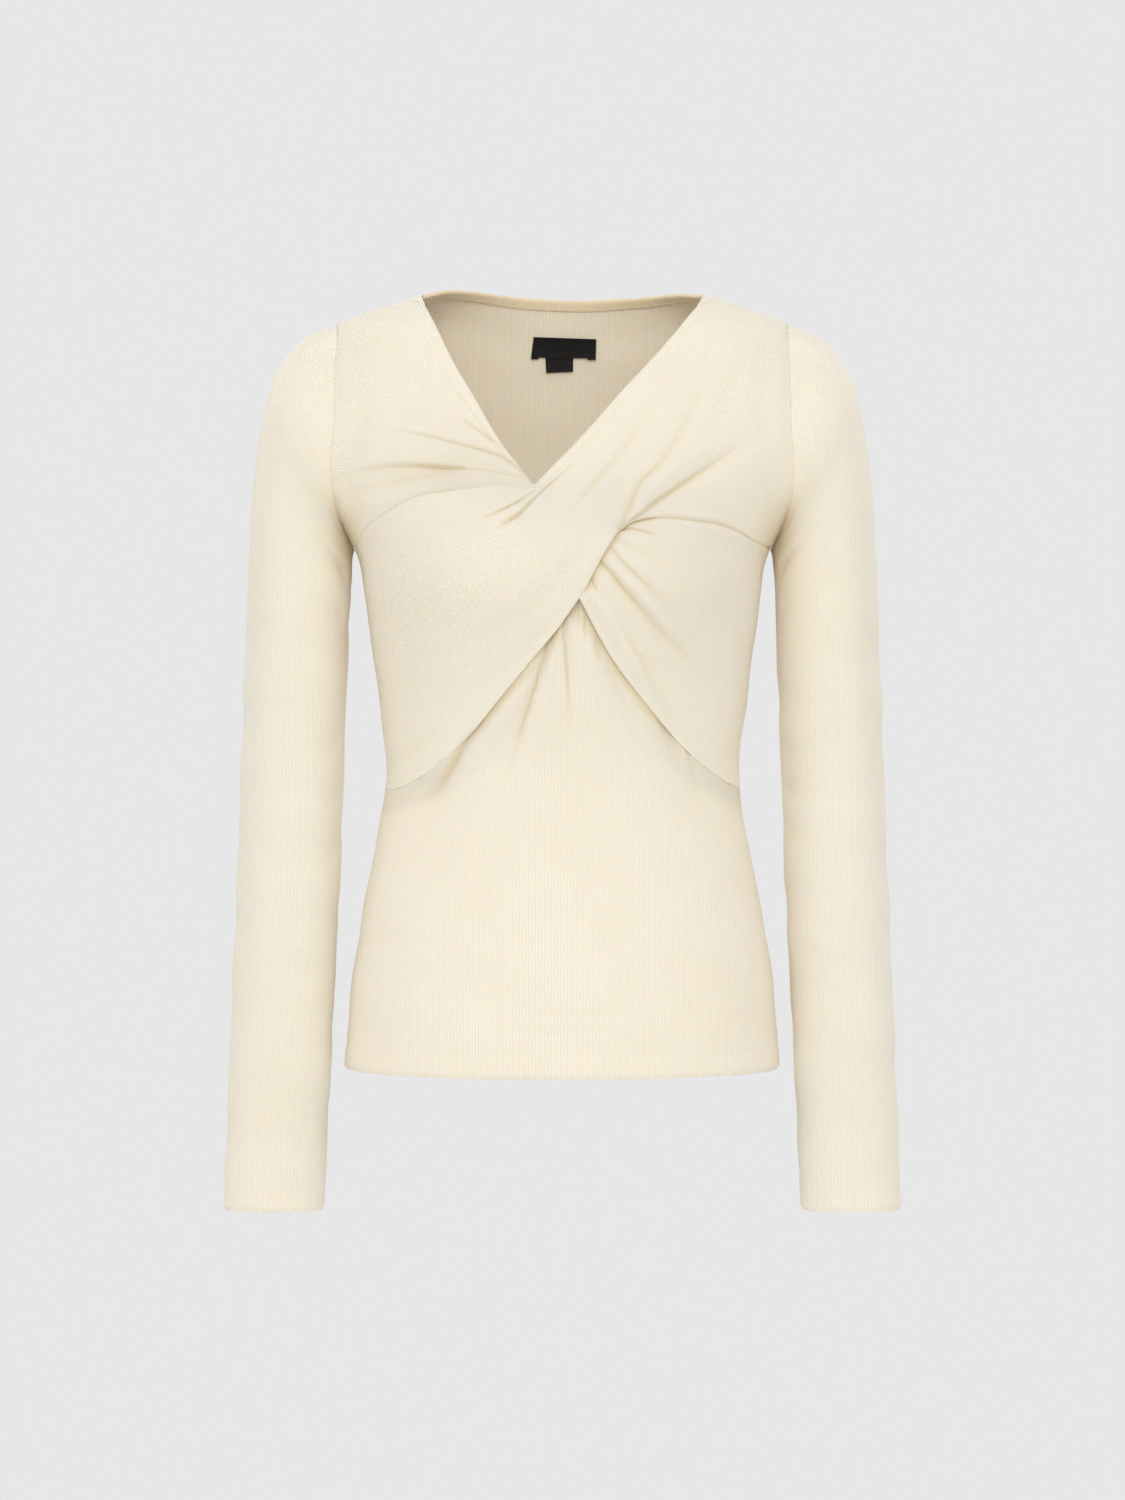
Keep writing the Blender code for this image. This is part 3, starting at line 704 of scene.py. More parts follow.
@dataclass(frozen=True)
class WovenTape:
    """Damask-woven polyester label tape: black, tight and slightly glossy along its weft."""

    name: str
    warp: str = "#090808"
    weft: str = "#141213"
    thread: float = 0.9  # mm, where the real threads are about 0.2 mm apart, too fine to show
    depth: float = 0.12  # mm
    roughness: float = 0.55

    def material(self) -> bpy.types.Material:
        """Build the tape's material.

        Returns:
            The material.
        """
        made, tree, shader = new_material(self.name)
        add = partial(add_node, tree)
        apart = add("ShaderNodeSeparateXYZ", {0: add("ShaderNodeUVMap", uv_map="knit")}).outputs
        turns = (
            add("ShaderNodeMath", {0: apart[axis], 1: FULL_TURN / self.thread}, operation="MULTIPLY")
            for axis in (0, 1)
        )
        over, under = (add("ShaderNodeMath", {0: turn}, operation="SINE") for turn in turns)
        crossed = add("ShaderNodeMath", {0: over, 1: under}, operation="MULTIPLY")
        weave = add("ShaderNodeMath", {0: crossed, 1: 0.5, 2: 0.5}, operation="MULTIPLY_ADD")
        bump = add("ShaderNodeBump", {"Strength": 0.4, "Distance": self.depth * MM, "Height": weave})
        tone = add("ShaderNodeMix", {0: weave, 6: linear(self.warp), 7: linear(self.weft)}, data_type="RGBA")
        looks = {
            "Base Color": tone.outputs[2],
            "Normal": bump,
            "Roughness": self.roughness,
            "Specular IOR Level": 0.2,
        }
        set_inputs(tree, shader, looks)
        return made


@dataclass(frozen=True)
class SewingThread:
    """Spun polyester sewing thread: two twisted plies, matt, matched to the knit."""

    name: str
    light: str = "#F3E9D6"
    dark: str = "#DDCFB4"
    ply: float = 0.417  # mm along one turn of the plies
    roughness: float = 0.7

    def material(self) -> bpy.types.Material:
        """Build the thread's material.

        Returns:
            The material.
        """
        made, tree, shader = new_material(self.name)
        add = partial(add_node, tree)
        place = add("ShaderNodeTexCoord").outputs["Object"]
        twist = add("ShaderNodeTexNoise", {"Vector": place, "Scale": METRE / self.ply, "Detail": 1.0})
        tone = add("ShaderNodeMix", {0: twist, 6: linear(self.dark), 7: linear(self.light)}, data_type="RGBA")
        looks = {"Base Color": tone.outputs[2], "Roughness": self.roughness, "Sheen Weight": 0.15}
        set_inputs(tree, shader, looks)
        return made


@dataclass(frozen=True)
class StudioPaint:
    """Flat emulsion on a studio floor: pale, matt and even."""

    name: str
    colour: str = "#EDEDED"
    grain: float = 11.1  # mm, of the roller's texture
    depth: float = 1.0  # mm
    roughness: float = 0.95

    def material(self) -> bpy.types.Material:
        """Build the floor's material.

        Returns:
            The material.
        """
        made, tree, shader = new_material(self.name)
        add = partial(add_node, tree)
        place = add("ShaderNodeTexCoord").outputs["Object"]
        grain = add("ShaderNodeTexNoise", {"Vector": place, "Scale": METRE / self.grain, "Detail": 3.0})
        bump = add("ShaderNodeBump", {"Strength": 0.05, "Distance": self.depth * MM, "Height": grain})
        set_inputs(
            tree, shader, {"Base Color": linear(self.colour), "Normal": bump, "Roughness": self.roughness}
        )
        return made


# ---- Cloth ----


class Shape(Enum):
    """Whether a grid of cloth is an open panel or closed round a limb."""

    PANEL = "panel"
    TUBE = "tube"


@dataclass
class Cloth:
    """A thin shell of cloth through a grid of points on its outer face, mm."""

    name: str
    points: np.ndarray
    ribs: np.ndarray  # distance across and along the ribs at each point, mm
    painted_shade: np.ndarray | None = None  # how much golden shade is painted at each point
    wall: float = 0.7
    shape: Shape = Shape.PANEL
    sharp_rim: bool = True

    def build(self, material: bpy.types.Material) -> bpy.types.Object:
        """Make the shell.

        Args:
            material: The finish of the cloth.

        Returns:
            The finished object, at the origin.
        """
        rows, columns = self.points.shape[0] - 1, self.points.shape[1] - 1
        sheet = bmesh.new()
        bmesh.ops.create_grid(sheet, x_segments=columns, y_segments=rows, size=1.0)
        knit = sheet.loops.layers.uv.new("knit")
        places = {}
        for vert in sheet.verts:
            column, row = round((vert.co.x + 1) / 2 * columns), round((vert.co.y + 1) / 2 * rows)
            places[vert.index] = (row, column)
        for face in sheet.faces:
            for loop in face.loops:
                loop[knit].uv = self.ribs[places[loop.vert.index]]
        # the painted shade, kept on each point for the material to read
        depth = sheet.verts.layers.float.new("painted_shade")
        for vert in sheet.verts:
            vert.co = self.points[places[vert.index]] * MM
            if self.painted_shade is not None:
                vert[depth] = self.painted_shade[places[vert.index]]
        if self.shape is Shape.TUBE:
            bmesh.ops.remove_doubles(sheet, verts=sheet.verts, dist=WELD)
        if self.faces_in():
            bmesh.ops.reverse_faces(sheet, faces=sheet.faces)
        for edge in sheet.edges:
            edge.smooth = not (self.sharp_rim and edge.is_boundary)
        mesh = bpy.data.meshes.new(self.name)
        sheet.to_mesh(mesh)
        sheet.free()
        mesh.shade_smooth()
        mesh.materials.append(material)
        piece = bpy.data.objects.new(self.name, mesh)
        bpy.context.scene.collection.objects.link(piece)
        thick = piece.modifiers.new("wall", "SOLIDIFY")
        thick.thickness = self.wall * MM
        thick.offset = -1.0
        return piece

    def faces_in(self) -> bool:
        """Whether the grid's own direction points into the body or the sleeve.

        Returns:
            Whether the faces have to be reversed to point outwards.
        """
        points = self.points
        row, column = points.shape[0] // 2, points.shape[1] // 2
        across = points[row, column + 1] - points[row, column]
        down = points[row + 1, column] - points[row, column]
        away = points[row, column] - points.mean(axis=(0, 1))
        return float(np.dot(np.cross(across, down), away)) < 0


def drawn_in(points: np.ndarray, shape: Shape, gap: float) -> np.ndarray:
    """Draw a grid's edges in by half a seam's gap.

    Args:
        points: The grid, mm.
        shape: A tube has no side edges.
        gap: Distance to leave between two sewn edges, mm.

    Returns:
        The grid with its outer rows and columns moved.
    """
    points = points.copy()
    edges = [(points[0], points[1]), (points[-1], points[-2])]
    if shape is Shape.PANEL:
        edges += [(points[:, 0], points[:, 1]), (points[:, -1], points[:, -2])]
    for edge, inner in edges:
        ahead = np.gradient(edge, axis=0)
        if shape is Shape.TUBE:
            ahead[[0, -1]] = edge[1] - edge[-2]
        ahead = unit(ahead)
        step = inner - edge
        step -= (step * ahead).sum(axis=-1, keepdims=True) * ahead
        edge += unit(step) * gap / 2
    return points


# ---- The crossed fronts ----

V_POINT = (-19.0, -146.0)  # where the two neck edges cross
SEAM_IN_LEFT, SEAM_IN_RIGHT = (-75.0, -149.0), (68.0, -169.0)  # inner ends of the two bust seams
OVER_NECK = (17.0, -216.0)  # the upper band is narrowest from V_POINT to here
UNDER_NECK_TOP, UNDER_NECK_LOW = (4.0, -164.0), (-15.0, -193.0)  # the lower band's narrowest place
APEX = (12.0, -224.0)  # where the lower band comes out from under the upper one
LOWER_APEX = (12.0, -216.0)  # top of the lower front, inside the twist
SHOULDER_TOP, SHOULDER_END, UNDERARM, CROSS_END, HEM = 0.0, -21.5, -184.0, -356.0, -555.0
NECK_EDGE_LEFT: Line = (
    (LEFT, SHOULDER_TOP), (-97.5, -12), (-87.6, -32), (-76.6, -55), (-64, -77), (-43, -114), V_POINT,
)
NECK_EDGE_RIGHT: Line = (
    (RIGHT, SHOULDER_TOP), (95, -13), (82, -30), (62, -54), (41, -78), (11, -113), V_POINT,
)
BUST_SEAM_LEFT: Line = (SEAM_IN_LEFT, (-98, -152), (-124, -163), (LEFT, UNDERARM))
BUST_SEAM_RIGHT: Line = (
    SEAM_IN_RIGHT, (92, -170), (110, -171.8), (124, -176.2), (136, -181.6), (RIGHT, UNDERARM),
)
SEEN_SEAM_RIGHT: Line = ((50.0, -171.0), *BUST_SEAM_RIGHT)  # it runs on along the upper band's turn
OVER_TOP: Line = (V_POINT, (-44, -147), SEAM_IN_LEFT)
OVER_TURN: Line = (SEAM_IN_RIGHT, (52, -170.5), (41, -177), (30, -193), OVER_NECK)
FREE_EDGE: Line = (
    OVER_NECK, (-1, -241), (-38, -286), (-75, -328), (-92, -342), (-112, -353), (LEFT, CROSS_END),
)
UNDER_HIDDEN_TOP: Line = (UNDER_NECK_TOP, (30, -170), SEAM_IN_RIGHT)
UNDER_HIDDEN_LOW: Line = (SEAM_IN_LEFT, (-50, -157), (-30, -174), UNDER_NECK_LOW)
UNDER_EDGE: Line = (APEX, (33, -263), (63, -302), (89, -330), (111, -347), (RIGHT, CROSS_END))
LOWER_TOP_LEFT: Line = (
    (LEFT, CROSS_END), (-112, -353), (-92, -341.5), (-80, -328), (-66, -307.5), (-38, -275), (-6, -232),
    LOWER_APEX,
)
LOWER_TOP_RIGHT: Line = (
    LOWER_APEX, (38, -254), (66, -290), (86, -318), (99, -337), (111, -347), (RIGHT, CROSS_END),
)
ARMHOLE: Line = (
    (RIGHT, SHOULDER_END), (160.5, -31), (161, -53), (161, -104), (163, -130), (159, -162), (RIGHT, UNDERARM),
)
BACK_NECK: Line = (
    (RIGHT, SHOULDER_TOP), (82, 4.3), (50, 4), (12, 3), (-25, 4.6), (-60, 7), (-82, 5.6),
    (LEFT, SHOULDER_TOP),
)
SHOULDER_CELLS, ARM_FRONT_CELLS, ARM_BACK_CELLS = 4, 10, 9
OUTER_CELLS, INNER_CELLS = 11, 7
HALF_CELLS = OUTER_CELLS + INNER_CELLS
CROWD = 0.35  # how much closer together a long edge's columns are at its ends
# Where the upper band's free edge runs out: a soft ridge along it and a trough below, which both pieces share
EDGE_END: tuple[Fold, ...] = (
    Fold(((-60, -310), (-74, -325), (-91, -341.5), (-112, -353)),
         (-0.6, -2.0, -2.6, -1.8, -0.4), (3.5, 4.5, 6)),
    Fold(((-56, -304), (-66, -318), (-72, -328), (-80, -342), (-90, -355), (-104, -366)),
         (2.0, 5.0, 6.4, 6.0, 4.2, 0.4), (1.8, 2.6, 4.0, 5.6, 8.0), 0.3, 1.3, 1.3),
)


def dressed(piece: bpy.types.Object) -> None:
    """Let a finished piece ride on the body and report it.

    Args:
        piece: A finished piece.
    """
    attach(piece, BODY)
    LOG.info("%s: %d faces", piece.name, len(piece.data.polygons))


@dataclass
class Panel:
    """What every piece that is cut from the knit shares.

    Two pieces that are sewn together meet at the same height: all have the same slack, and their own folds
    end before the side seams, the shoulder seams and the armholes.
    """

    form: WornForm = WornForm()
    along: int = 8  # columns of the cloth to one cell of the solids
    down: int = 8  # rows of the cloth to one cell of the solids
    wall: float = 0.7
    slack: tuple[Wave, ...] = (
        Wave(92.0, 0.45, 0.35, 0.3),
        Wave(57.0, 0.25, 1.2, 1.4),
        Wave(39.0, 0.15, 2.3, 0.6),
    )
    seam_gap: float = 0.04
    seam_deep: float = 0.5
    seam_wide: float = 2.0
    side_round: float = 6.0  # mm of cloth to a mm of x, about, where the body rounds into a side seam
    bust_deep: float = 1.5
    bust_wide: float = 1.3
    bust_left: float = 0.4  # the left bust seam's share of the right one's depth: it is looser
    shade_wide: float = 0.8
    shade_left: float = 0.35  # how much golden shade is painted along each bust seam
    shade_right: float = 0.75
    flat_left: float = 48.0  # a free edge lies flat over this much of its end, at each side seam
    flat_right: float = 40.0
    fade: float = 28.0
    armhole_ease: float = 9.0
    underarm: tuple[float, float] = (151.0, -180.0)  # cloth bunches here, and golden shade is painted around it
    underarm_reach: tuple[float, float] = (11.0, 24.0)  # across and up
    # strength of the shade painted there
    underarm_shade_strength: float = 0.9
    side_ease: float = 3.0

    def edge(self, line: Line, cells: int, crowd: float = 0.0) -> np.ndarray:
        """Rows of (turn, z) along a line of stations, for the top or bottom of a grid."""
        return self.form.spread(self.form.track(line), cells * self.along, crowd)

    def level(self, start: float, end: float, z: float, cells: int) -> np.ndarray:
        """Rows of (turn, z) round the form at one height."""
        line = np.stack([np.linspace(start, end, TRACK_POINTS), np.full(TRACK_POINTS, z)], axis=-1)
        return self.form.spread(line, cells * self.along, CROWD)

    def side(self, high: float, low: float, cells: int, fine: int) -> np.ndarray:
        """Rows of (turn, z) down the right shoulder or side seam."""
        count = cells * fine + 1
        return np.stack([np.full(count, np.pi / 2), np.linspace(high, low, count)], axis=-1)

    def armhole(self, cells: int) -> np.ndarray:
        """The right armhole on the front, from the shoulder to the underarm."""
        return self.form.spread(self.form.track(ARMHOLE), cells * self.down)

    def inside_side_seam(self, x: np.ndarray, z: np.ndarray, reach: float) -> np.ndarray:
        """0 at a side seam and 1 further in than the reach, mm."""
        return eased((self.form.size_at("half_width", z) - np.abs(x)) / reach)

    def bust_seams(self, x: np.ndarray, z: np.ndarray) -> np.ndarray:
        """The narrow valley that sewing pulls along both bust seams, mm: the right one is tighter.

        Args:
            x: Across, mm.
            z: Height, mm.

        Returns:
            How far each point moves out, mm.
        """
        left = near(x, z, BUST_SEAM_LEFT, self.bust_wide)
        right = near(x, z, SEEN_SEAM_RIGHT, self.bust_wide)
        return -self.bust_deep * (self.bust_left * left + right)

    def seam_shade(self, x: np.ndarray, z: np.ndarray) -> np.ndarray:
        """How much golden shade is painted along both bust seams.

        Args:
            x: Across, mm.
            z: Height, mm.

        Returns:
            The painted shade of each point.
        """
        left = near(x, z, BUST_SEAM_LEFT, self.shade_wide)
        right = near(x, z, SEEN_SEAM_RIGHT, self.shade_wide)
        return self.shade_left * left + self.shade_right * right

    def side_seam(self, x: np.ndarray, z: np.ndarray) -> np.ndarray:
        """The valley along both side seams, mm."""
        away = (self.form.size_at("half_width", z) - np.abs(x)) * self.side_round
        return -self.seam_deep * np.exp(-((away / self.seam_wide) ** 2))

    def inside_armhole(self, x: np.ndarray, z: np.ndarray) -> np.ndarray:
        """0 at an armhole and 1 a little inside it."""
        return eased(SmoothLine(ARMHOLE[:-1]).measure(np.abs(x), z)[0] / self.armhole_ease)

    def underarm_shade(self, x: np.ndarray, z: np.ndarray) -> np.ndarray:
        """How much golden shade is painted around the nearer underarm.

        Args:
            x: Across, mm.
            z: Height, mm.

        Returns:
            The golden shade of each point.
        """
        across = (np.abs(x) - self.underarm[0]) / self.underarm_reach[0]
        up = (z - self.underarm[1]) / self.underarm_reach[1]
        return self.underarm_shade_strength * np.exp(-(across**2) - up**2)

    def sewn(self, x: np.ndarray, z: np.ndarray, folds: Relief) -> Relief:
        """The piece's folds and slack, brought down to its seams.

        Args:
            x: Across, mm.
            z: Height, mm.
            folds: What its folds do to the points.

        Returns:
            What its folds and slack together do to them.
        """
        inside = self.inside_side_seam(x, z, self.side_ease)
        armhole = self.inside_armhole(x, z)
        out = folds.out * inside * armhole + folded(x, z, self.slack).out * armhole
        return Relief(out, np.maximum(folds.painted_shade * inside * armhole, self.underarm_shade(x, z)))

    def free(self, x: np.ndarray, z: np.ndarray, sooner: float = 0.0) -> np.ndarray:
        """0 where a band's free edge lies flat, towards its side seam, and 1 where it stands off.

        Args:
            x: Across, mm.
            z: Height, mm.
            sooner: How much further out the edge stands off, mm.

        Returns:
            The share of each point.
        """
        flat = np.where(x < 0, self.flat_left, self.flat_right) - sooner
        fade = self.fade if not sooner else 2 * sooner
        return eased((self.form.size_at("half_width", z) - np.abs(x) - flat) / fade)

    def shaped(
        self, grid: np.ndarray, relief: Callable[[np.ndarray, np.ndarray], Relief]
    ) -> tuple[np.ndarray, np.ndarray]:
        """Points of a (turn, z) grid with its relief, drawn in for the seams, and the golden shade painted on
        them.

        Args:
            grid: Rows and columns of (turn, z).
            relief: How the piece stands off the form at (x, z).

        Returns:
            The points, mm, and how much golden shade is painted on each.
        """
        flat = self.form.point(grid[..., 0], grid[..., 1])
        done = relief(flat[..., 0], flat[..., 2])
        points = flat + self.form.outward(grid[..., 0], grid[..., 1]) * done.out[..., None]
        return drawn_in(points, Shape.PANEL, self.seam_gap), done.painted_shade


@dataclass
class CrossedFronts(Panel):
    """The two bands that cross and twist at the front, one over the other."""

    along: int = 6
    down: int = 16
    twist: tuple[float, float] = (12.0, -190.0)
    twist_wide: float = 55.0
    twist_tall: float = 50.0
    twist_rise: float = 9.0
    layer_gap: float = 0.95  # between the outer faces of the two bands
    layer_more: float = 0.7  # and this much more at the twist
    layer: tuple[float, float] = (-8.0, -175.0)
    layer_wide: float = 95.0
    layer_tall: float = 70.0
    seam_ease: float = 7.0  # the bands come together within this distance of a bust seam
    loose_ease: float = 16.0  # and hang loose of each other from this far
    free_lift: float = 0.8
    free_reach: float = 13.0
    free_roll: float = 1.6
    neck_roll: float = 2.0
    turn_roll: float = 2.4
    turn_share: float = 0.65  # the upper band's turned edge rolls in by this share of turn_roll
    turn_reach: float = 6.0
    turn_follows: float = 0.65  # how much of the pleats beneath it the upper band's turn takes up
    bare_start: float = 1.0  # the lower band's ridges rise from this far under the upper one's turn
    bare_ease: float = 6.0  # over this distance
    bare_reach: float = 18.0  # and only this near the turn is held down at all
    crevice: float = 1.1  # how much deeper the lower band dips along the upper one's turn
    pocket: float = 2.6  # reach of the golden shade painted along a crevice
    pocket_shade_strength: float = 1.5
    neck_hem: TurnedHem = TurnedHem(6.0, 0.5, 1.2, 0.35, 0.9)
    rib_width: float = 230.0  # widest part of a band, across its ribs
    rib_length: float = 400.0
    over_folds: tuple[Fold | Wave, ...] = (
        Fold(((-20, -151), (-27.5, -156.5), (-37.5, -162), (-49, -167), (-58, -171)),
             (0.8, 2.6, 3.0, 2.2, 0.2), (1.0, 1.1, 1.3, 2.2), 0.5, 1.1, 2.6),
        Fold(((12, -128), (-5, -142.5), (-19.5, -157), (-29.5, -167), (-41.5, -175), (-47, -179)),
             (0.4, 1.4, 2.4, 3.6, 4.6, 0.4), (1.0, 1.0, 1.1, 1.4, 1.9, 4), 0.5, 1.1, 2.2),
        Fold(((-6, -148), (-22, -159), (-42, -169), (-60, -180)), (-0.6, -1.6, -1.4, -0.3), (3, 4, 6)),
        Fold(((40, -176), (46, -161), (53, -145), (67, -130), (84, -105), (95, -80), (102, -46)),
             (3.6, 3.6, 3.4, 2.6, 1.4, 0.4), (2.4, 2.8, 4, 7, 10), 0.25, 1.4),
        Fold(((40, -177), (46, -172), (53, -167), (61, -160), (72, -152), (86, -142), (101, -132),
              (120, -119), (138, -108)),
             (2.0, 3.6, 4.6, 4.8, 4.2, 2.6, 1.2, 0.2), (1.7, 2.0, 2.6, 4, 7, 10), -0.45, 1.2),
        Fold(((54, -158), (73, -138), (93, -121), (114, -106)), (-2.5, -3.6, -2.4, -0.4), (4, 6.5, 9, 13)),
        Fold(((80, -152), (102, -144), (126, -132)), (-1.0, -1.4, -0.3), (6, 8, 10)),
        Fold(((68, -84), (55, -100), (42, -121), (27, -139), (12, -158), (0, -172)),
             (0.3, 1.4, 2.0, 2.4, 2.0, 0.2), (8, 5, 3.6, 3.0, 5), 0.3, 1.5),
        Fold(((76, -60), (60, -80), (36, -108), (16, -132)), (-0.3, -1.2, -1.4, -0.4), (8, 7, 6, 6)),
        Fold(((58, -167.6), (72, -166.3), (92, -167), (110, -168.8), (127, -174.5)),
             (-0.5, -1.3, -1.2, -0.5), (1.7, 1.9, 2.4)),
        Fold(((64, -106), (46, -134), (30, -154), (12, -178)),
             (0.2, 1.2, 1.2, 0.2), (6, 4.5, 4.5, 7), 0.0, 1.7),
        Fold(((34, -146), (8, -178), (-34, -216), (-84, -244)), (-1.8, -2.4, -1.8, -0.5), (6, 10, 15, 20)),
        Fold(((-14, -158), (-34, -182), (-60, -204), (-92, -222)), (-0.4, -1.2, -0.8, -0.3), (6, 9, 14)),
        Fold(((2, -176), (-26, -204), (-58, -228), (-98, -248)), (0.2, 1.0, 0.8, 0.2), (6, 8, 13), 0.0, 1.8),
        Fold(((14, -196), (-10, -219), (-40, -244), (-84, -278)), (0.4, 1.3, 1.0, 0.3), (6, 8, 15), 0.0, 1.8),
        Fold(((-10, -224), (-44, -256), (-94, -298)), (-0.6, -1.1, -0.3), (8, 11, 16)),
        Fold(((4, -226), (-20, -254), (-58, -294), (-86, -320)), (0.5, 1.0, 0.9, 0.2), (4, 6, 10), -0.2, 1.6),
        Fold(((-92, -316), (-106, -328), (-122, -340)), (0.6, 1.8, 1.0), (6, 8, 9)),
        Fold(((-52, -196), (-74, -206), (-104, -210)), (0.2, 0.9, 0.2), (6, 8, 10)),
        Fold(((124, -58), (110, -84), (98, -104)), (1.0, 1.2, 0.3), (7, 10, 12)),
        Fold(((141, -46), (140, -90), (150, -140)), (0.8, 1.0, 0.6), (7, 8, 9)),
    )
    under_folds: tuple[Fold | Wave, ...] = (
        Fold(((-19, -146), (-28, -136), (-37.5, -127.7), (-52, -121.3), (-68.5, -116.5), (-83, -112.4),
              (-98, -108.5), (-121, -104.5)), (1.2, 2.0, 2.6, 2.8, 2.6, 2.4, 2.2, 1.0),
             (1.0, 1.0, 1.1, 1.2, 1.5, 2.0, 3.4), 0.5, 1.1, 3.4),
        Fold(((-21, -144), (-34, -139), (-55.5, -134.4), (-70, -132.2), (-88, -131), (-101, -130.3),
              (-125, -131), (-148, -134)),
             (0.3, 0.5, 0.7, 0.8, 0.8, 1.2, 4.2, 5.4, 5.4, 5.0, 4.4, 4.0, 3.4, 2.4, 1.2),
             (0.9, 0.9, 0.9, 1.0, 1.0, 1.1, 1.3, 1.9, 2.7, 3.6, 4.6, 5.6, 6.6, 8, 9), 0.75, 1.1, 2.0),
        Fold(((-41, -119), (-53, -110), (-65, -101.5), (-75, -96)),
             (0.8, 2.6, 2.2, 0.2), (1.0, 1.1, 2.0), 0.4, 1.1, 3.4),
        Fold(((-29, -137), (-47, -117), (-61, -96), (-73, -78), (-86, -57), (-93, -42)),
             (0.3, 0.8, 1.2, 1.3, 1.0, 0.2), (1.1, 1.2, 1.4, 2.0, 3), 0.2, 1.3, 3.6),
        Fold(((-32, -137), (-50, -127), (-76, -122), (-112, -113)), (-1.4, -2.4, -2.6, -0.8), (3, 4, 6, 10)),
        Fold(((-44, -121), (-62, -110), (-84, -100), (-108, -90)), (-0.8, -1.8, -1.4, -0.3), (3, 4, 7, 10)),
        Fold(((-62, -142), (-84, -145), (-108, -150), (-134, -158)), (-0.8, -1.6, -1.8, -0.8), (4, 5, 6)),
        Fold(((-72, -134), (-96, -137), (-122, -142), (-146, -149)), (0.8, 3.4, 4.4, 2.4), (3, 6.5, 10)),
        Fold(((-96, -66), (-104, -92), (-122, -112)), (0.3, 1.2, 0.3), (6, 8, 9)),
        Fold(((33, -199), (42, -210), (53, -221), (66, -235), (86, -258), (106, -286)),
             (-2.6, -4.0, -3.2, -2.2, -1.4, -0.3), (3.4, 4, 5, 8, 12)),
        Fold(((33, -191), (45, -204), (53, -211), (67, -224), (86, -240)),
             (1.8, 3.0, 2.8, 1.8, 0.3), (1.6, 2.0, 2.8, 4.6, 8), 0.3, 1.3),
        Fold(((24, -198), (32, -206), (40, -216), (53, -231), (62, -242), (84, -262), (110, -284)),
             (2.8, 4.2, 4.2, 3.8, 3.0, 1.8, 0.4), (2.0, 2.6, 3.6, 5.6, 9, 12), -0.3, 1.3),
        Fold(((37, -177), (46.7, -176.8), (56.5, -179), (70, -184)),
             (3.0, 2.8, 2.2, 0.2), (1.2, 1.2, 2.0, 4), 0.1, 1.2),
        Fold(((36, -184), (50, -191), (64, -197), (86, -206)),
             (1.6, 2.0, 1.4, 0.2), (2.6, 4, 6, 10), 0.0, 1.6),
        Fold(((16, -207), (21, -215), (28, -226)), (2.6, 2.2, 0.2), (1.7, 2.4, 4), 0.0, 1.3),
        Fold(((38, -238), (46, -252), (57, -269), (67, -288), (82, -310)),
             (0.6, 2.2, 2.8, 2.2, 0.4), (3.2, 4.0, 6, 9), 0.2, 1.5),
        Fold(((22, -222), (38, -248), (58, -278), (84, -308)), (-2.0, -2.0, -1.4, -0.3), (4, 5, 7, 9)),
        Fold(((58, -175), (72, -173), (96, -175), (126, -181)), (-0.8, -1.0, -0.8, -0.4), (3, 3.5, 5)),
        Fold(((-142, -60), (-141, -98), (-150, -136)), (0.8, 1.0, 0.6), (7, 8, 9)),
    )

    def heap(self, x: np.ndarray, z: np.ndarray) -> np.ndarray:
        """How far the crossing bands stand off the form around the twist, mm."""
        across, up = (x - self.twist[0]) / self.twist_wide, (z - self.twist[1]) / self.twist_tall
        return self.twist_rise * np.exp(-(across**2) - up**2)

    def off_seams(self, x: np.ndarray, z: np.ndarray) -> np.ndarray:
        """Distance from the nearer bust seam, mm."""
        left, right = (SmoothLine(seam).measure(x, z)[0] for seam in (BUST_SEAM_LEFT, BUST_SEAM_RIGHT))
        return np.minimum(left, right)

    def loose(self, x: np.ndarray, z: np.ndarray) -> np.ndarray:
        """0 at a bust seam and 1 where the bands hang loose of each other."""
        return eased(self.off_seams(x, z) / self.loose_ease)

    def shared(self, x: np.ndarray, z: np.ndarray) -> np.ndarray:
        """1 at a bust seam, where each band takes up the other's folds, and 0 away from it."""
        return np.exp(-((self.off_seams(x, z) / self.seam_ease) ** 2))

    def crossing(self, x: np.ndarray, z: np.ndarray) -> np.ndarray:
        """1 where one band lies over the other and 0 away from there."""
        reach = ((x - self.layer[0]) / self.layer_wide) ** 2 + ((z - self.layer[1]) / self.layer_tall) ** 2
        return np.exp(-(reach**2)) * eased(self.off_seams(x, z) / self.seam_ease)

    def bare(self, x: np.ndarray, z: np.ndarray) -> np.ndarray:
        """0 under the upper band's turned edge and 1 a little away from it.

        Args:
            x: Across, mm.
            z: Height, mm.

        Returns:
            The share of each point.
        """
        off, _, side = SmoothLine(OVER_TURN).measure(x, z)
        rising = eased((off * side + self.bare_start) / self.bare_ease)
        return 1 - (1 - rising) * np.exp(-((off / self.bare_reach) ** 2))

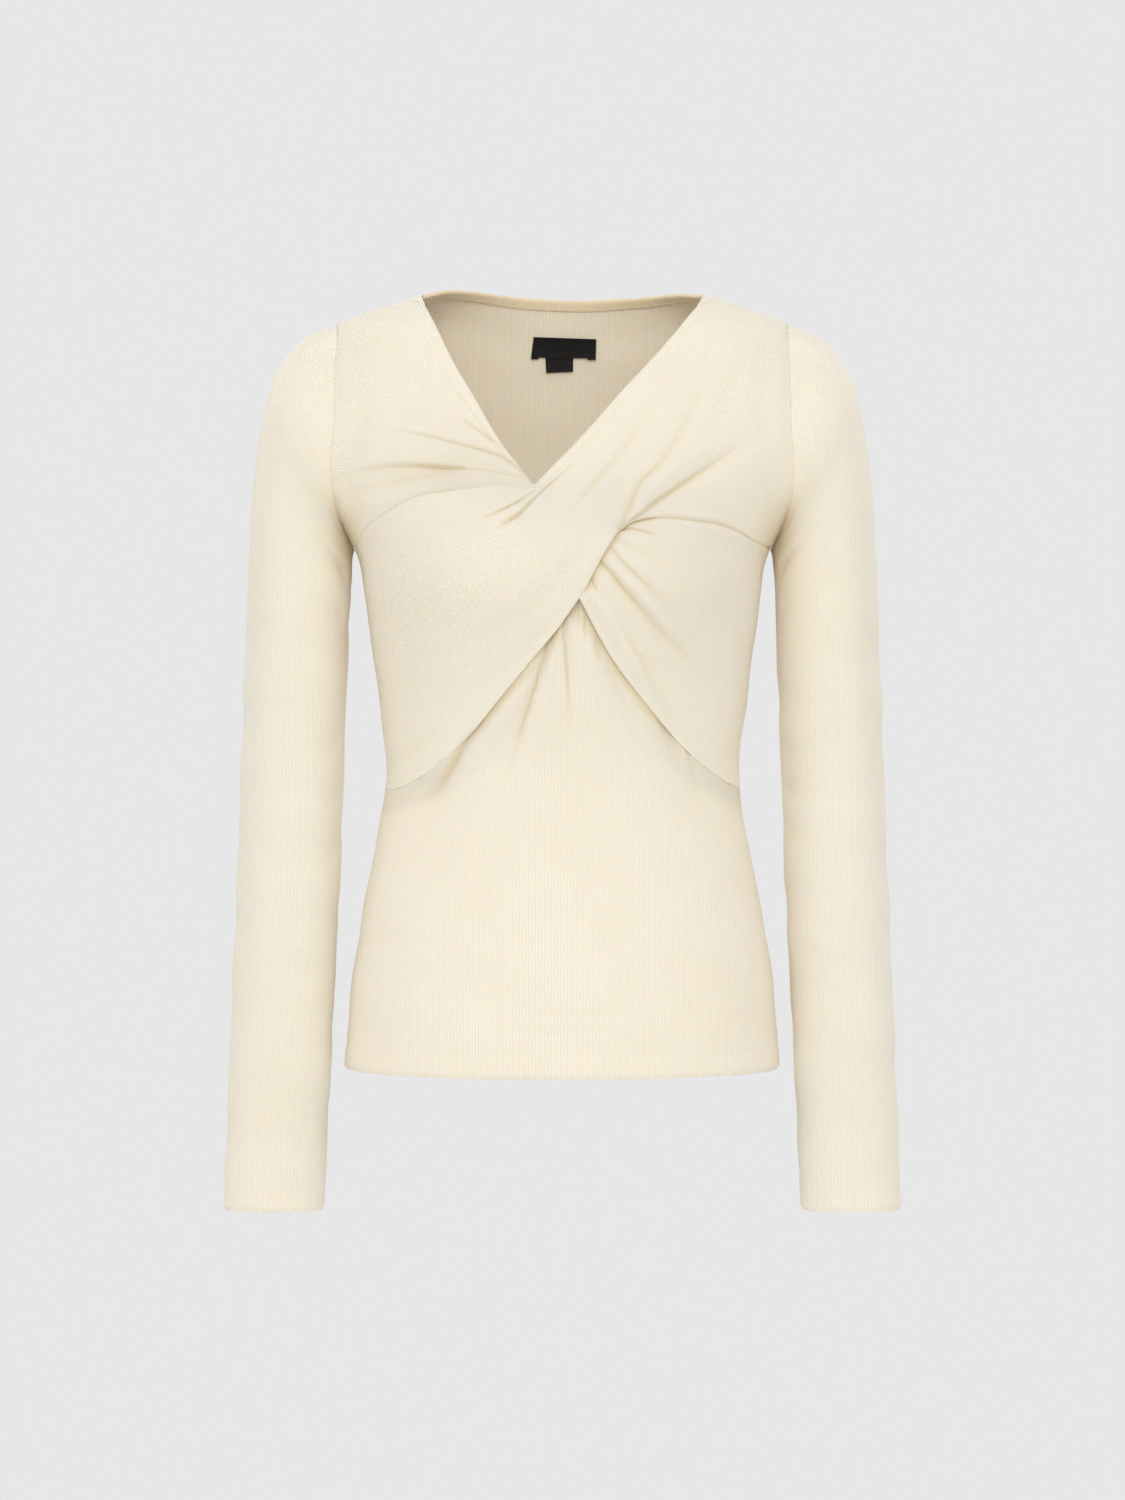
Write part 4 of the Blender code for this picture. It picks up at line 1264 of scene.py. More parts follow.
    def over_relief(self, x: np.ndarray, z: np.ndarray) -> Relief:
        """How the upper band stands off the form.

        Args:
            x: Across, mm.
            z: Height, mm.

        Returns:
            How far out each point lies, and the golden shade painted on it.
        """
        own = self.sewn(x, z, folded(x, z, self.over_folds))
        other = folded(x, z, self.under_folds)
        free, loose = self.free(x, z), self.loose(x, z)
        lift = self.free_lift * near(x, z, FREE_EDGE, self.free_reach) * free
        roll = rolled(x, z, FREE_EDGE, self.free_roll) * free + rolled(x, z, NECK_EDGE_RIGHT, self.neck_roll)
        roll += rolled(x, z, OVER_TURN, self.turn_roll) * loose * self.turn_share
        sewn = self.bust_seams(x, z) + self.side_seam(x, z)
        hem = self.neck_hem.step(SmoothLine(NECK_EDGE_RIGHT).measure(x, z)[0])
        out = self.heap(x, z) + lift + roll + sewn + hem
        ends = self.inside_armhole(x, z) * self.inside_side_seam(x, z, self.side_ease)
        pleated = self.turn_follows * near(x, z, OVER_TURN, self.turn_reach) * loose
        flat = folded(x, z, EDGE_END)
        taken_up = np.maximum(self.shared(x, z), pleated)
        out += own.out + other.out * taken_up * ends + flat.out * (1 - free) * ends
        painted_shade = np.maximum(own.painted_shade, flat.painted_shade * (1 - free))
        return Relief(out, np.maximum(painted_shade, self.seam_shade(x, z)))

    def under_relief(self, x: np.ndarray, z: np.ndarray) -> Relief:
        """How the lower band stands off the form: it follows the upper one's folds beneath it.

        Args:
            x: Across, mm.
            z: Height, mm.

        Returns:
            How far out each point lies, and the golden shade painted on it.
        """
        own = self.sewn(x, z, folded(x, z, self.under_folds))
        other = folded(x, z, self.over_folds)
        free, loose = self.free(x, z), self.loose(x, z)
        crossing = self.crossing(x, z)
        gap = crossing * (self.layer_gap + self.layer_more * loose)
        dip = near(x, z, OVER_TURN, self.turn_reach) * loose * self.crevice
        lift = self.free_lift * near(x, z, UNDER_EDGE, self.free_reach) * free
        roll = rolled(x, z, UNDER_EDGE, self.free_roll) * free + rolled(x, z, NECK_EDGE_LEFT, self.neck_roll)
        sewn = self.bust_seams(x, z) + self.side_seam(x, z)
        ends = self.inside_armhole(x, z) * self.inside_side_seam(x, z, self.side_ease)
        out = self.heap(x, z) - gap - dip + lift + roll + sewn
        out += other.out * np.maximum(crossing, self.shared(x, z)) * ends
        out += np.where(own.out > 0, own.out * self.bare(x, z), own.out)
        # painted golden shade along the upper band's turn
        shade = self.pocket_shade_strength * near(x, z, OVER_TURN, self.pocket) * loose
        return Relief(out, np.maximum(np.maximum(own.painted_shade, shade), self.seam_shade(x, z)))

    def ribs_of(self, grid: np.ndarray) -> np.ndarray:
        """Distance across and along the ribs: they run along the band, close together at the twist.

        Args:
            grid: Rows and columns of (turn, z).

        Returns:
            Two distances for each point, mm.
        """
        rows, columns = grid.shape[:2]
        across, along = np.meshgrid(
            np.linspace(0, self.rib_width, rows), np.linspace(0, self.rib_length, columns), indexing="ij"
        )
        return np.stack([across, along], axis=-1)

    def shoulder_and_arm(self) -> np.ndarray:
        """Down the right shoulder seam and then the armhole."""
        shoulder = self.side(SHOULDER_TOP, SHOULDER_END, SHOULDER_CELLS, self.down)
        return joined(shoulder, self.armhole(ARM_FRONT_CELLS))

    def side_seam_rows(self) -> np.ndarray:
        """Down the right side seam, as far as the bands reach."""
        return self.side(UNDERARM, CROSS_END, SHOULDER_CELLS + ARM_FRONT_CELLS, self.down)

    def over(self) -> Cloth:
        """The upper band: from the right shoulder and armhole to the left side seam.

        Returns:
            The band, to be built.
        """
        top = joined(
            self.edge(NECK_EDGE_RIGHT, HALF_CELLS, CROWD),
            self.edge(OVER_TOP, INNER_CELLS),
            self.edge(BUST_SEAM_LEFT, OUTER_CELLS),
        )
        bottom = joined(
            self.edge(BUST_SEAM_RIGHT, OUTER_CELLS)[::-1],
            self.edge(OVER_TURN, INNER_CELLS),
            self.edge(FREE_EDGE, HALF_CELLS, CROWD),
        )
        start, end = self.shoulder_and_arm(), mirrored(self.side_seam_rows())
        grid = self.form.patch((top, bottom, start, end), self.along, self.down)
        points, painted_shade = self.shaped(grid, self.over_relief)
        return Cloth("band_over", points, self.ribs_of(grid), painted_shade, self.wall)

    def under(self) -> Cloth:
        """The lower band: from the left shoulder and armhole, under the other, to the right side seam.

        Returns:
            The band, to be built.
        """
        tuck = 2  # cells of its edge that lie under the upper band
        top = joined(
            self.edge(NECK_EDGE_LEFT, HALF_CELLS - tuck, CROWD),
            self.edge((V_POINT, UNDER_NECK_TOP), tuck),
            self.edge(UNDER_HIDDEN_TOP, INNER_CELLS),
            self.edge(BUST_SEAM_RIGHT, OUTER_CELLS),
        )
        bottom = joined(
            self.edge(BUST_SEAM_LEFT, OUTER_CELLS)[::-1],
            self.edge(UNDER_HIDDEN_LOW, INNER_CELLS),
            self.edge((UNDER_NECK_LOW, APEX), tuck + 1),
            self.edge(UNDER_EDGE, HALF_CELLS - tuck - 1, CROWD),
        )
        start, end = mirrored(self.shoulder_and_arm()), self.side_seam_rows()
        grid = self.form.patch((top, bottom, start, end), self.along, self.down)
        points, painted_shade = self.shaped(grid, self.under_relief)
        return Cloth("band_under", points, self.ribs_of(grid), painted_shade, self.wall)

    def build(self, knit: bpy.types.Material) -> None:
        """Args:
            knit: The finish of the cloth.
        """
        over = self.over().build(knit)
        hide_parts("front_cross_over")
        dressed(over)
        under = self.under().build(knit)
        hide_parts("front_cross_under")
        dressed(under)


# ---- The lower front and the back ----


@dataclass
class HemmedPanel(Panel):
    """What the lower front and the back share: a turned hem and upright ribs."""

    hem_roll: float = 1.6
    hem_band: TurnedHem = TurnedHem(16.0, 0.35, 1.5, 0.35, 1.2)

    def hem(self, z: np.ndarray) -> np.ndarray:
        """How far the turned hem moves the cloth out, mm."""
        return turned_under(z - HEM, self.hem_roll) + self.hem_band.step(z - HEM)

    def ribs_of(self, points: np.ndarray) -> np.ndarray:
        """Distance across the ribs, measured round from the middle at each height, and along them.

        Args:
            points: Rows and columns of points, mm.

        Returns:
            Two distances for each point, mm.
        """
        step = np.linalg.norm(np.diff(points, axis=1), axis=-1)
        across = np.concatenate([np.zeros((len(points), 1)), np.cumsum(step, axis=1)], axis=1)
        order = -1 if points[0, 0, 0] > points[0, -1, 0] else 1  # x has to rise for np.interp
        rising, run = points[:, ::order, 0], across[:, ::order]
        middle = np.array([np.interp(0.0, places, reach) for places, reach in zip(rising, run)])
        return np.stack([across - middle[:, None], points[..., 2]], axis=-1)


@dataclass
class LowerFront(HemmedPanel):
    """The lower front, gathered into the twist at its top."""

    along: int = 15
    down: int = 11
    half_cells: int = 12
    down_cells: int = 10
    tuck_drop: float = 0.8  # the least dip that clears the bands' wall
    tuck_more: float = 0.9
    tuck_covered: float = 20.0  # how far the dip reaches under the bands
    tuck_bare: float = 8.0  # and past their edges
    tuck_sooner: float = 6.0  # how much further out than the bands' edges the least dip goes on
    bare_ease: float = 7.0  # its ridges rise over this distance from the bands' edges
    pocket: float = 3.4  # reach of the golden shade painted along the bands' edges
    pocket_shade_strength: float = 1.4
    folds: tuple[Fold | Wave, ...] = (
        Fold(((0, -234), (0.5, -246), (2.3, -266), (3.4, -286), (4.5, -300), (4, -322)),
             (3.4, 3.8, 3.4, 2.6, 1.4, 0.1), (1.3, 1.3, 1.7, 3, 6), 0.1, 1.1),
        Fold(((-3, -238), (-7.5, -250.5), (-13, -266), (-19.5, -286.5), (-27, -308), (-34, -330),
              (-42, -356)),
             (5.0, 6.4, 6.6, 6.0, 4.8, 2.6, 0.3), (1.8, 2.1, 2.4, 3.2, 6, 11), -0.45, 1.15),
        Fold(((-6, -262), (-9, -284), (-12, -318)), (-1.8, -1.6, -0.3), (3, 5, 9)),
        Fold(((-26, -282), (-44, -308), (-62, -332), (-84, -360)), (-2.4, -3.0, -2.2, -0.5), (4, 6, 8, 12)),
        Fold(((-100, -350), (-112, -358), (-124, -364)), (0.9, 1.1, 0.3), (3, 4, 6), 0.0, 1.6),
        Fold(((14, -240), (21, -262), (30, -310)), (-1.6, -2.0, -0.3), (3, 5, 11)),
        Fold(((8, -228), (17, -246), (25, -261.5), (36, -280)),
             (2.4, 2.6, 2.0, 0.3), (1.0, 1.1, 2, 4), 0.0, 1.1),
        Fold(((5, -224), (8.5, -231), (11, -239)), (4.0, 3.4, 0.5), (2.6, 2.4, 2), 0.0, 1.4),
        Fold(((26, -262), (38, -286), (50, -324)), (1.6, 1.6, 0.3), (2.6, 5, 10), 0.2, 1.5),
        Fold(((44, -280), (60, -306), (74, -344)), (-1.2, -1.2, -0.3), (5, 7, 11)),
        Fold(((66, -300), (74, -318), (80, -350)), (1.6, 1.4, 0.2), (2.2, 4, 8), 0.0, 1.5),
        Fold(((74, -310), (81, -328), (86, -356)), (1.2, 1.0, 0.2), (1.8, 3, 7), 0.0, 1.5),
        Fold(((88, -328), (93, -344), (95, -372)), (1.6, 1.3, 0.2), (2.2, 4, 8), 0.0, 1.5),
        Fold(((-92, -352), (-96, -378), (-92, -420)), (1.2, 0.8, 0.3), (9, 12, 15)),
        Fold(((-20, -330), (-24, -380), (-18, -440)), (0.8, 0.6, 0.3), (10, 14, 18)),
        Fold(((-30, -507), (0, -511), (42, -506)), (0.3, 0.8, 0.3), (3.5,)),
        Fold(((-46, -520), (-6, -523), (30, -519)), (0.3, 0.7, 0.3), (3.5,)),
        Fold(((-12, -532), (24, -534), (60, -531)), (0.2, 0.6, 0.2), (3.0,)),
    )

    def relief(self, x: np.ndarray, z: np.ndarray) -> Relief:
        """How the lower front stands off the form: it dips under both free edges and meets their ends.

        Args:
            x: Across, mm.
            z: Height, mm.

        Returns:
            How far out each point lies, and the golden shade painted on it.
        """
        dip, bare, shade = np.zeros(np.shape(x)), np.ones(np.shape(x)), np.zeros(np.shape(x))
        for line, bare_side in ((FREE_EDGE, 1), (UNDER_EDGE, -1)):
            off, _, side = SmoothLine(line).measure(x, z)
            past = off * side * bare_side
            reach = np.where(past > 0, self.tuck_bare, self.tuck_covered)
            dip = np.maximum(dip, np.exp(-((off / reach) ** 2)))
            bare = np.minimum(bare, eased(past / self.bare_ease))
            # painted golden shade along both bands' edges
            shade = np.maximum(shade, np.exp(-((off / self.pocket) ** 2)))
        own = self.sewn(x, z, folded(x, z, self.folds + EDGE_END))
        free = self.free(x, z)
        drop = self.tuck_drop * self.free(x, z, self.tuck_sooner) + self.tuck_more * free
        bare = 1 - (1 - bare) * free
        out = np.where(own.out > 0, own.out * bare, own.out) - drop * dip + self.hem(z) + self.side_seam(x, z)
        return Relief(out, np.maximum(own.painted_shade, self.pocket_shade_strength * shade * free))

    def build(self, knit: bpy.types.Material) -> None:
        """Args:
            knit: The finish of the cloth.
        """
        top = joined(
            self.edge(LOWER_TOP_LEFT, self.half_cells, CROWD),
            self.edge(LOWER_TOP_RIGHT, self.half_cells, CROWD),
        )
        bottom = self.level(-np.pi / 2, np.pi / 2, HEM, 2 * self.half_cells)
        side = self.side(CROSS_END, HEM, self.down_cells, self.down)
        grid = self.form.patch((top, bottom, mirrored(side), side), self.along, self.down)
        points, painted_shade = self.shaped(grid, self.relief)
        piece = Cloth("lower_front", points, self.ribs_of(points), painted_shade, self.wall).build(knit)
        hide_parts("front_lower")
        dressed(piece)


@dataclass
class BackPanel(HemmedPanel):
    """The back, in one piece from the shoulders to the hem."""

    neck_cells: int = 12
    side_cells: int = 11
    sewn_row: int = 3  # the row below the neck edge that its binding is sewn to
    folds: tuple[Fold | Wave, ...] = (
        Fold(((-127, -345), (-86, -338), (-40, -344), (-6, -352)),
             (3.6, 3.4, 1.8, 0.2), (6, 8, 12), 0.2, 1.7),
        Fold(((127, -352), (92, -349), (50, -360), (20, -366)), (4.2, 3.8, 2.0, 0.2), (6, 8, 13), 0.2, 1.7),
        Fold(((124, -316), (78, -322), (30, -318), (0, -322)), (3.2, 3.0, 1.6, 0.2), (6, 8, 13), -0.2, 1.7),
        Fold(((-124, -304), (-70, -318), (-24, -316)), (2.8, 2.4, 0.3), (6, 9, 13), 0.0, 1.7),
        Fold(((-122, -376), (-84, -382), (-44, -378)), (2.2, 1.6, 0.3), (7, 10, 13)),
        Fold(((118, -388), (78, -392), (40, -386)), (1.8, 1.4, 0.3), (7, 10, 13)),
        Fold(((-126, -326), (-84, -328), (-36, -332)), (-1.6, -1.8, -0.3), (6, 8, 11)),
        Fold(((126, -334), (84, -336), (40, -340)), (-1.8, -2.0, -0.3), (6, 8, 11)),
        Fold(((142, -182), (118, -150), (96, -112), (88, -80)), (4.5, 3.6, 1.8, 0.3), (5, 8, 13), 0.25, 1.6),
        Fold(((-142, -180), (-120, -146), (-104, -100), (-98, -70)),
             (4.0, 3.4, 1.6, 0.3), (5, 8, 13), 0.25, 1.6),
        Fold(((146, -196), (110, -186), (70, -190)), (2.6, 1.8, 0.3), (5, 8, 12), 0.0, 1.7),
        Fold(((-146, -200), (-112, -188), (-66, -186)), (2.4, 1.6, 0.3), (5, 8, 12), 0.0, 1.7),
        Fold(((90, -20), (60, -34), (20, -40)), (1.2, 1.0, 0.3), (9, 11, 14)),
        Fold(((-90, -22), (-56, -36), (-14, -42)), (1.0, 0.9, 0.3), (9, 11, 14)),
        Fold(((10, -240), (4, -300), (12, -360)), (1.2, 1.4, 0.8), (22, 26)),
        Fold(((60, -470), (54, -510), (58, -554)), (1.2, 1.2, 0.8), (18, 22)),
        Fold(((-66, -450), (-72, -500), (-70, -554)), (1.3, 1.2, 0.9), (18, 22)),
    )

    def relief(self, x: np.ndarray, z: np.ndarray) -> Relief:
        """How the back stands off the form."""
        own = self.sewn(x, z, folded(x, z, self.folds))
        return Relief(own.out + self.hem(z) + self.side_seam(x, z), own.painted_shade)

    def build(self, knit: bpy.types.Material) -> np.ndarray:
        """Args:
            knit: The finish of the cloth.

        Returns:
            The panel's points along its neck edge and just below, which the neck binding is sewn to.
        """
        shoulder = self.side(SHOULDER_TOP, SHOULDER_END, SHOULDER_CELLS, self.along)
        neck = self.form.spread(self.form.track(BACK_NECK, back=True), self.neck_cells * self.along)
        top = joined(at_back(shoulder)[::-1], neck, at_back(mirrored(shoulder)))
        bottom = self.level(np.pi / 2, 3 * np.pi / 2, HEM, 2 * SHOULDER_CELLS + self.neck_cells)
        side = joined(self.armhole(ARM_BACK_CELLS), self.side(UNDERARM, HEM, self.side_cells, self.down))
        edges = (top, bottom, at_back(side), at_back(mirrored(side)))
        points, painted_shade = self.shaped(self.form.patch(edges, self.along, self.down), self.relief)
        piece = Cloth("back_panel", points, self.ribs_of(points), painted_shade, self.wall).build(knit)
        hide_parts("back")
        dressed(piece)
        first = SHOULDER_CELLS * self.along
        return points[[0, self.sewn_row], first : first + self.neck_cells * self.along + 1]


# ---- Sleeves ----


@dataclass(frozen=True)
class Ring:
    """A section of the right sleeve, mm: its inner and outer points, half its depth, how far its middle
    lies to the front, and how much of the armhole's own shape it keeps."""

    inner_x: float
    inner_z: float
    outer_x: float
    outer_z: float
    half_depth: float
    forward: float
    armhole: float


@dataclass
class Sleeves(Panel):
    """Both sleeves, filled out as on an arm and narrow to the cuff."""

    down_cells: int = 200
    ring_steps: int = 400  # places where half a section is read
    cuff_roll: float = 1.5
    cuff_hem: TurnedHem = TurnedHem(9.0, 0.3, 1.2, 0.35, 1.1)
    end_ease: float = 30.0  # folds die out this far from the cuff and from the armhole
    cap_ease: float = 60.0  # and over this height of the sleeve's cap
    cap_start: float = 40.0  # from this far above the underarm
    rings: tuple[Ring, ...] = (
        Ring(149.4, UNDERARM, 162.0, SHOULDER_END, 58, 2, 1.0),
        Ring(150.0, -185, 190.0, -36, 60, 2, 0.7),
        Ring(150.4, -186, 206.0, -59, 59, 2, 0.4),
        Ring(150.9, -188, 216.0, -95, 56, 1, 0.2),
        Ring(151.5, -191, 222.5, -143, 53, 1, 0.05),
        Ring(152.4, -202, 225.5, -196, 50, 0, 0.0),
        Ring(155.0, -265, 228.5, -262, 48, -2, 0.0),
        Ring(158.0, -345, 231.5, -345, 45, -4, 0.0),
        Ring(160.5, -420, 234.0, -420, 41, -1, 0.0),
        Ring(164.0, -500, 237.0, -500, 35, 5, 0.0),
        Ring(168.0, -590, 240.0, -590, 28, 12, 0.0),
        Ring(170.5, -655.5, 241.8, -655.5, 24.5, 16, 0.0),
    )
    # On a sleeve the first coordinate is the distance round from its outer side, to the front
    right_folds: tuple[Fold | Wave, ...] = (
        Fold(((118, -196), (92, -172), (70, -140)), (3.0, 0.3), (6, 12), 0.0, 1.7),
        Fold(((110, -222), (76, -214), (40, -206)), (2.2, 0.3), (7, 12)),
        Fold(((112, -330), (74, -322), (36, -326)), (2.0, 0.2), (8, 13)),
        Fold(((114, -356), (80, -360), (44, -352)), (2.2, 0.2), (8, 12)),
        Fold(((108, -388), (70, -384), (30, -390)), (1.6, 0.2), (8, 13)),
        Fold(((-100, -340), (-64, -346), (-24, -340)), (1.6, 0.2), (9, 14)),
        Fold(((-110, -210), (-80, -190), (-52, -160)), (2.6, 0.3), (7, 12)),
        Fold(((96, -470), (60, -478), (24, -470)), (1.3, 0.2), (8, 12)),
        Fold(((92, -560), (58, -552), (26, -560)), (1.1, 0.2), (8, 12)),
        Fold(((30, -120), (34, -200), (30, -300)), (1.0, 0.5), (14, 18)),
        Wave(74.0, 0.45, 1.35, 0.5),
        Wave(47.0, 0.3, 1.8, 2.0),
    )
    left_folds: tuple[Fold | Wave, ...] = (
        Fold(((118, -200), (90, -176), (66, -146)), (2.8, 0.3), (6, 12), 0.0, 1.7),
        Fold(((112, -230), (78, -224), (42, -212)), (2.0, 0.3), (7, 12)),
        Fold(((112, -322), (78, -330), (40, -322)), (1.8, 0.2), (8, 13)),
        Fold(((114, -362), (76, -354), (40, -360)), (2.2, 0.2), (8, 12)),
        Fold(((106, -402), (72, -398), (34, -404)), (1.5, 0.2), (8, 13)),
        Fold(((-100, -350), (-62, -342), (-22, -348)), (1.6, 0.2), (9, 14)),
        Fold(((-110, -214), (-82, -196), (-50, -168)), (2.4, 0.3), (7, 12)),
        Fold(((96, -486), (62, -480), (24, -488)), (1.2, 0.2), (8, 12)),
        Fold(((90, -574), (56, -580), (24, -572)), (1.1, 0.2), (8, 12)),
        Fold(((26, -130), (30, -210), (24, -310)), (1.0, 0.5), (14, 18)),
        Wave(70.0, 0.45, 1.5, 1.1),
        Wave(49.0, 0.3, 1.7, 0.3),
    )

    def half_ring(self, ring: Ring, cells: int, front: bool) -> np.ndarray:
        """Half of a section, from its outer point round to its inner one, in even steps.

        Args:
            ring: The section.
            cells: How many steps to divide it into.
            front: Whether it is the front half.

        Returns:
            Points, mm.
        """
        inner = np.array([ring.inner_x, 0.0, ring.inner_z])
        outer = np.array([ring.outer_x, 0.0, ring.outer_z])
        angle = np.linspace(0, np.pi, self.ring_steps)[:, None]
        sideways = np.array([0.0, -ring.half_depth if front else ring.half_depth, 0.0])
        points = (outer + inner) / 2 + (outer - inner) / 2 * self.form.rounded(np.cos(angle))
        points = points + sideways * self.form.rounded(np.sin(angle))
        points[:, 1] -= ring.forward
        run = lengths(points)
        at = np.linspace(0, run[-1], cells + 1)
        return np.stack([np.interp(at, run, column) for column in points.T], axis=-1)

    def full_ring(self, ring: Ring) -> np.ndarray:
        """A section: down its front and up its back.

        Args:
            ring: The section.

        Returns:
            Points, mm, whose last is on the first.
        """
        front = self.half_ring(ring, ARM_FRONT_CELLS * self.down, front=True)
        rear = self.half_ring(ring, ARM_BACK_CELLS * self.down, front=False)
        return joined(front, rear[::-1])

    def tube(self) -> np.ndarray:
        """The right sleeve's form, from its armhole to its cuff.

        Returns:
            A row of points for each section, mm.
        """
        table = np.array([list(vars(ring).values()) for ring in self.rings])
        middle = np.array([((r.inner_x + r.outer_x) / 2, (r.inner_z + r.outer_z) / 2) for r in self.rings])
        knots = lengths(middle)
        at = np.linspace(0, knots[-1], self.down_cells + 1)
        rows = hermite(at, knots, table, np.gradient(table, knots, axis=0))
        front, rear = self.armhole(ARM_FRONT_CELLS), at_back(self.armhole(ARM_BACK_CELLS))
        armhole = joined(self.form.point(*front.T), self.form.point(*rear.T)[::-1])
        own_shape = armhole - self.full_ring(self.rings[0])
        rings = [Ring(*row) for row in rows]
        return np.array([self.full_ring(ring) + own_shape * np.clip(ring.armhole, 0, 1) for ring in rings])

    def worn(self, tube: np.ndarray, folds: Sequence[Fold | Wave]) -> tuple[np.ndarray, np.ndarray]:
        """The tube with its folds and turned cuff, and the distance across and along its ribs.

        Args:
            tube: The sleeve's form, mm.
            folds: Its folds and its slack.

        Returns:
            The points, mm, and the distances across and along the ribs at each.
        """
        step = np.linalg.norm(np.diff(tube, axis=1), axis=-1)
        around = np.concatenate([np.zeros((len(tube), 1)), np.cumsum(step, axis=1)], axis=1)
        half = around.shape[1] * ARM_FRONT_CELLS // (ARM_FRONT_CELLS + ARM_BACK_CELLS)
        signed = np.where(np.arange(around.shape[1]) <= half, around, around - around[:, -1:])
        down = unit(np.gradient(tube, axis=0))
        across = np.gradient(tube, axis=1)
        across[:, [0, -1]] = (tube[:, [1]] - tube[:, [-2]]) / 2
        normal = unit(np.cross(across, down))
        away = tube - tube.mean(axis=1, keepdims=True)
        normal *= np.sign((normal * away).sum())
        above = tube[..., 2] - self.rings[-1].outer_z
        done = folded(signed, tube[..., 2], folds)
        below_cap = UNDERARM + self.cap_start - tube[..., 2]
        off = done.out * eased(above / self.end_ease) * eased(below_cap / self.cap_ease)
        off *= eased(np.linalg.norm(tube - tube[0], axis=-1) / self.end_ease)
        off[:, -1] = off[:, 0]
        off += turned_under(above, self.cuff_roll) + self.cuff_hem.step(above)
        return tube + normal * off[..., None], np.stack([around, tube[..., 2]], axis=-1)

    def build(self, knit: bpy.types.Material) -> None:
        """Args:
            knit: The finish of the cloth.
        """
        tube = self.tube()
        for side, folds in (("right", self.right_folds), ("left", self.left_folds)):
            points, ribs = self.worn(tube, folds)
            points = drawn_in(points, Shape.TUBE, self.seam_gap)
            if side == "left":
                points = points * (-1, 1, 1)  # mirrored in x
            # painted golden shade round the underarm, carried on the sleeve
            shade = self.underarm_shade(points[..., 0], points[..., 2])
            piece = Cloth(f"sleeve_{side}_knit", points, ribs, shade, self.wall, Shape.TUBE).build(knit)
            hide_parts(f"sleeve_{side}")
            dressed(piece)


# ---- Trim ----


@dataclass
class NeckBinding:
    """The narrow binding that wraps the back neck edge."""

    wall: float = 0.6
    profile: tuple[tuple[float, float], ...] = (
        (0.7, 2.6), (0.8, 1.2), (0.5, 0.0), (0.0, -0.5), (-0.8, -0.5), (-1.3, 0.1), (-1.45, 1.2), (-1.5, 3.0),
        (-1.5, 4.8), (-1.55, 6.6),
    )  # (out of the cloth, down from the edge)
    stitches: tuple[float, float] = (-2.2, 5.4)  # where their row runs, in the same way

    def build(self, binding: bpy.types.Material, panel: np.ndarray) -> np.ndarray:
        """Make the binding along the back panel's neck edge.

        Args:
            binding: The finish of the binding.
            panel: The back panel's points along its neck edge, and just below it.

        Returns:
            A line along the binding's lower seam, for its stitches.
        """
        edge, below = panel
        outward = np.cross(np.gradient(edge, axis=0), below - edge)
        outward = unit(outward * np.sign((outward * edge).sum(axis=-1, keepdims=True)))
        down = np.array([0.0, 0.0, -1.0])
        down = unit(down - outward * (outward @ down)[:, None])
        points = np.array([edge + outward * out + down * low for out, low in self.profile])
        run = lengths(edge)
        across = np.repeat(run[None], len(self.profile), axis=0)
        along = np.repeat(np.array([low for _, low in self.profile])[:, None], len(run), axis=1)
        strip = Cloth("neck_binding", points, np.stack([across, along], axis=-1), wall=self.wall)
        piece = strip.build(binding)
        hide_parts("neck_band")
        dressed(piece)
        return edge + outward * self.stitches[0] + down * self.stitches[1]


@dataclass(frozen=True)
class Tape:
    """A piece of woven tape, by its corners (x, z) in mm, as seen from the front."""

    top_left: Station
    top_right: Station
    low_left: Station
    low_right: Station
    off: float  # how far it is clear of the back's outer face, mm
    sag: float  # how far its lower edge stands off further
    end_fold: float = 0.0  # how far its folded ends show below it
    end_wide: float = 6.0


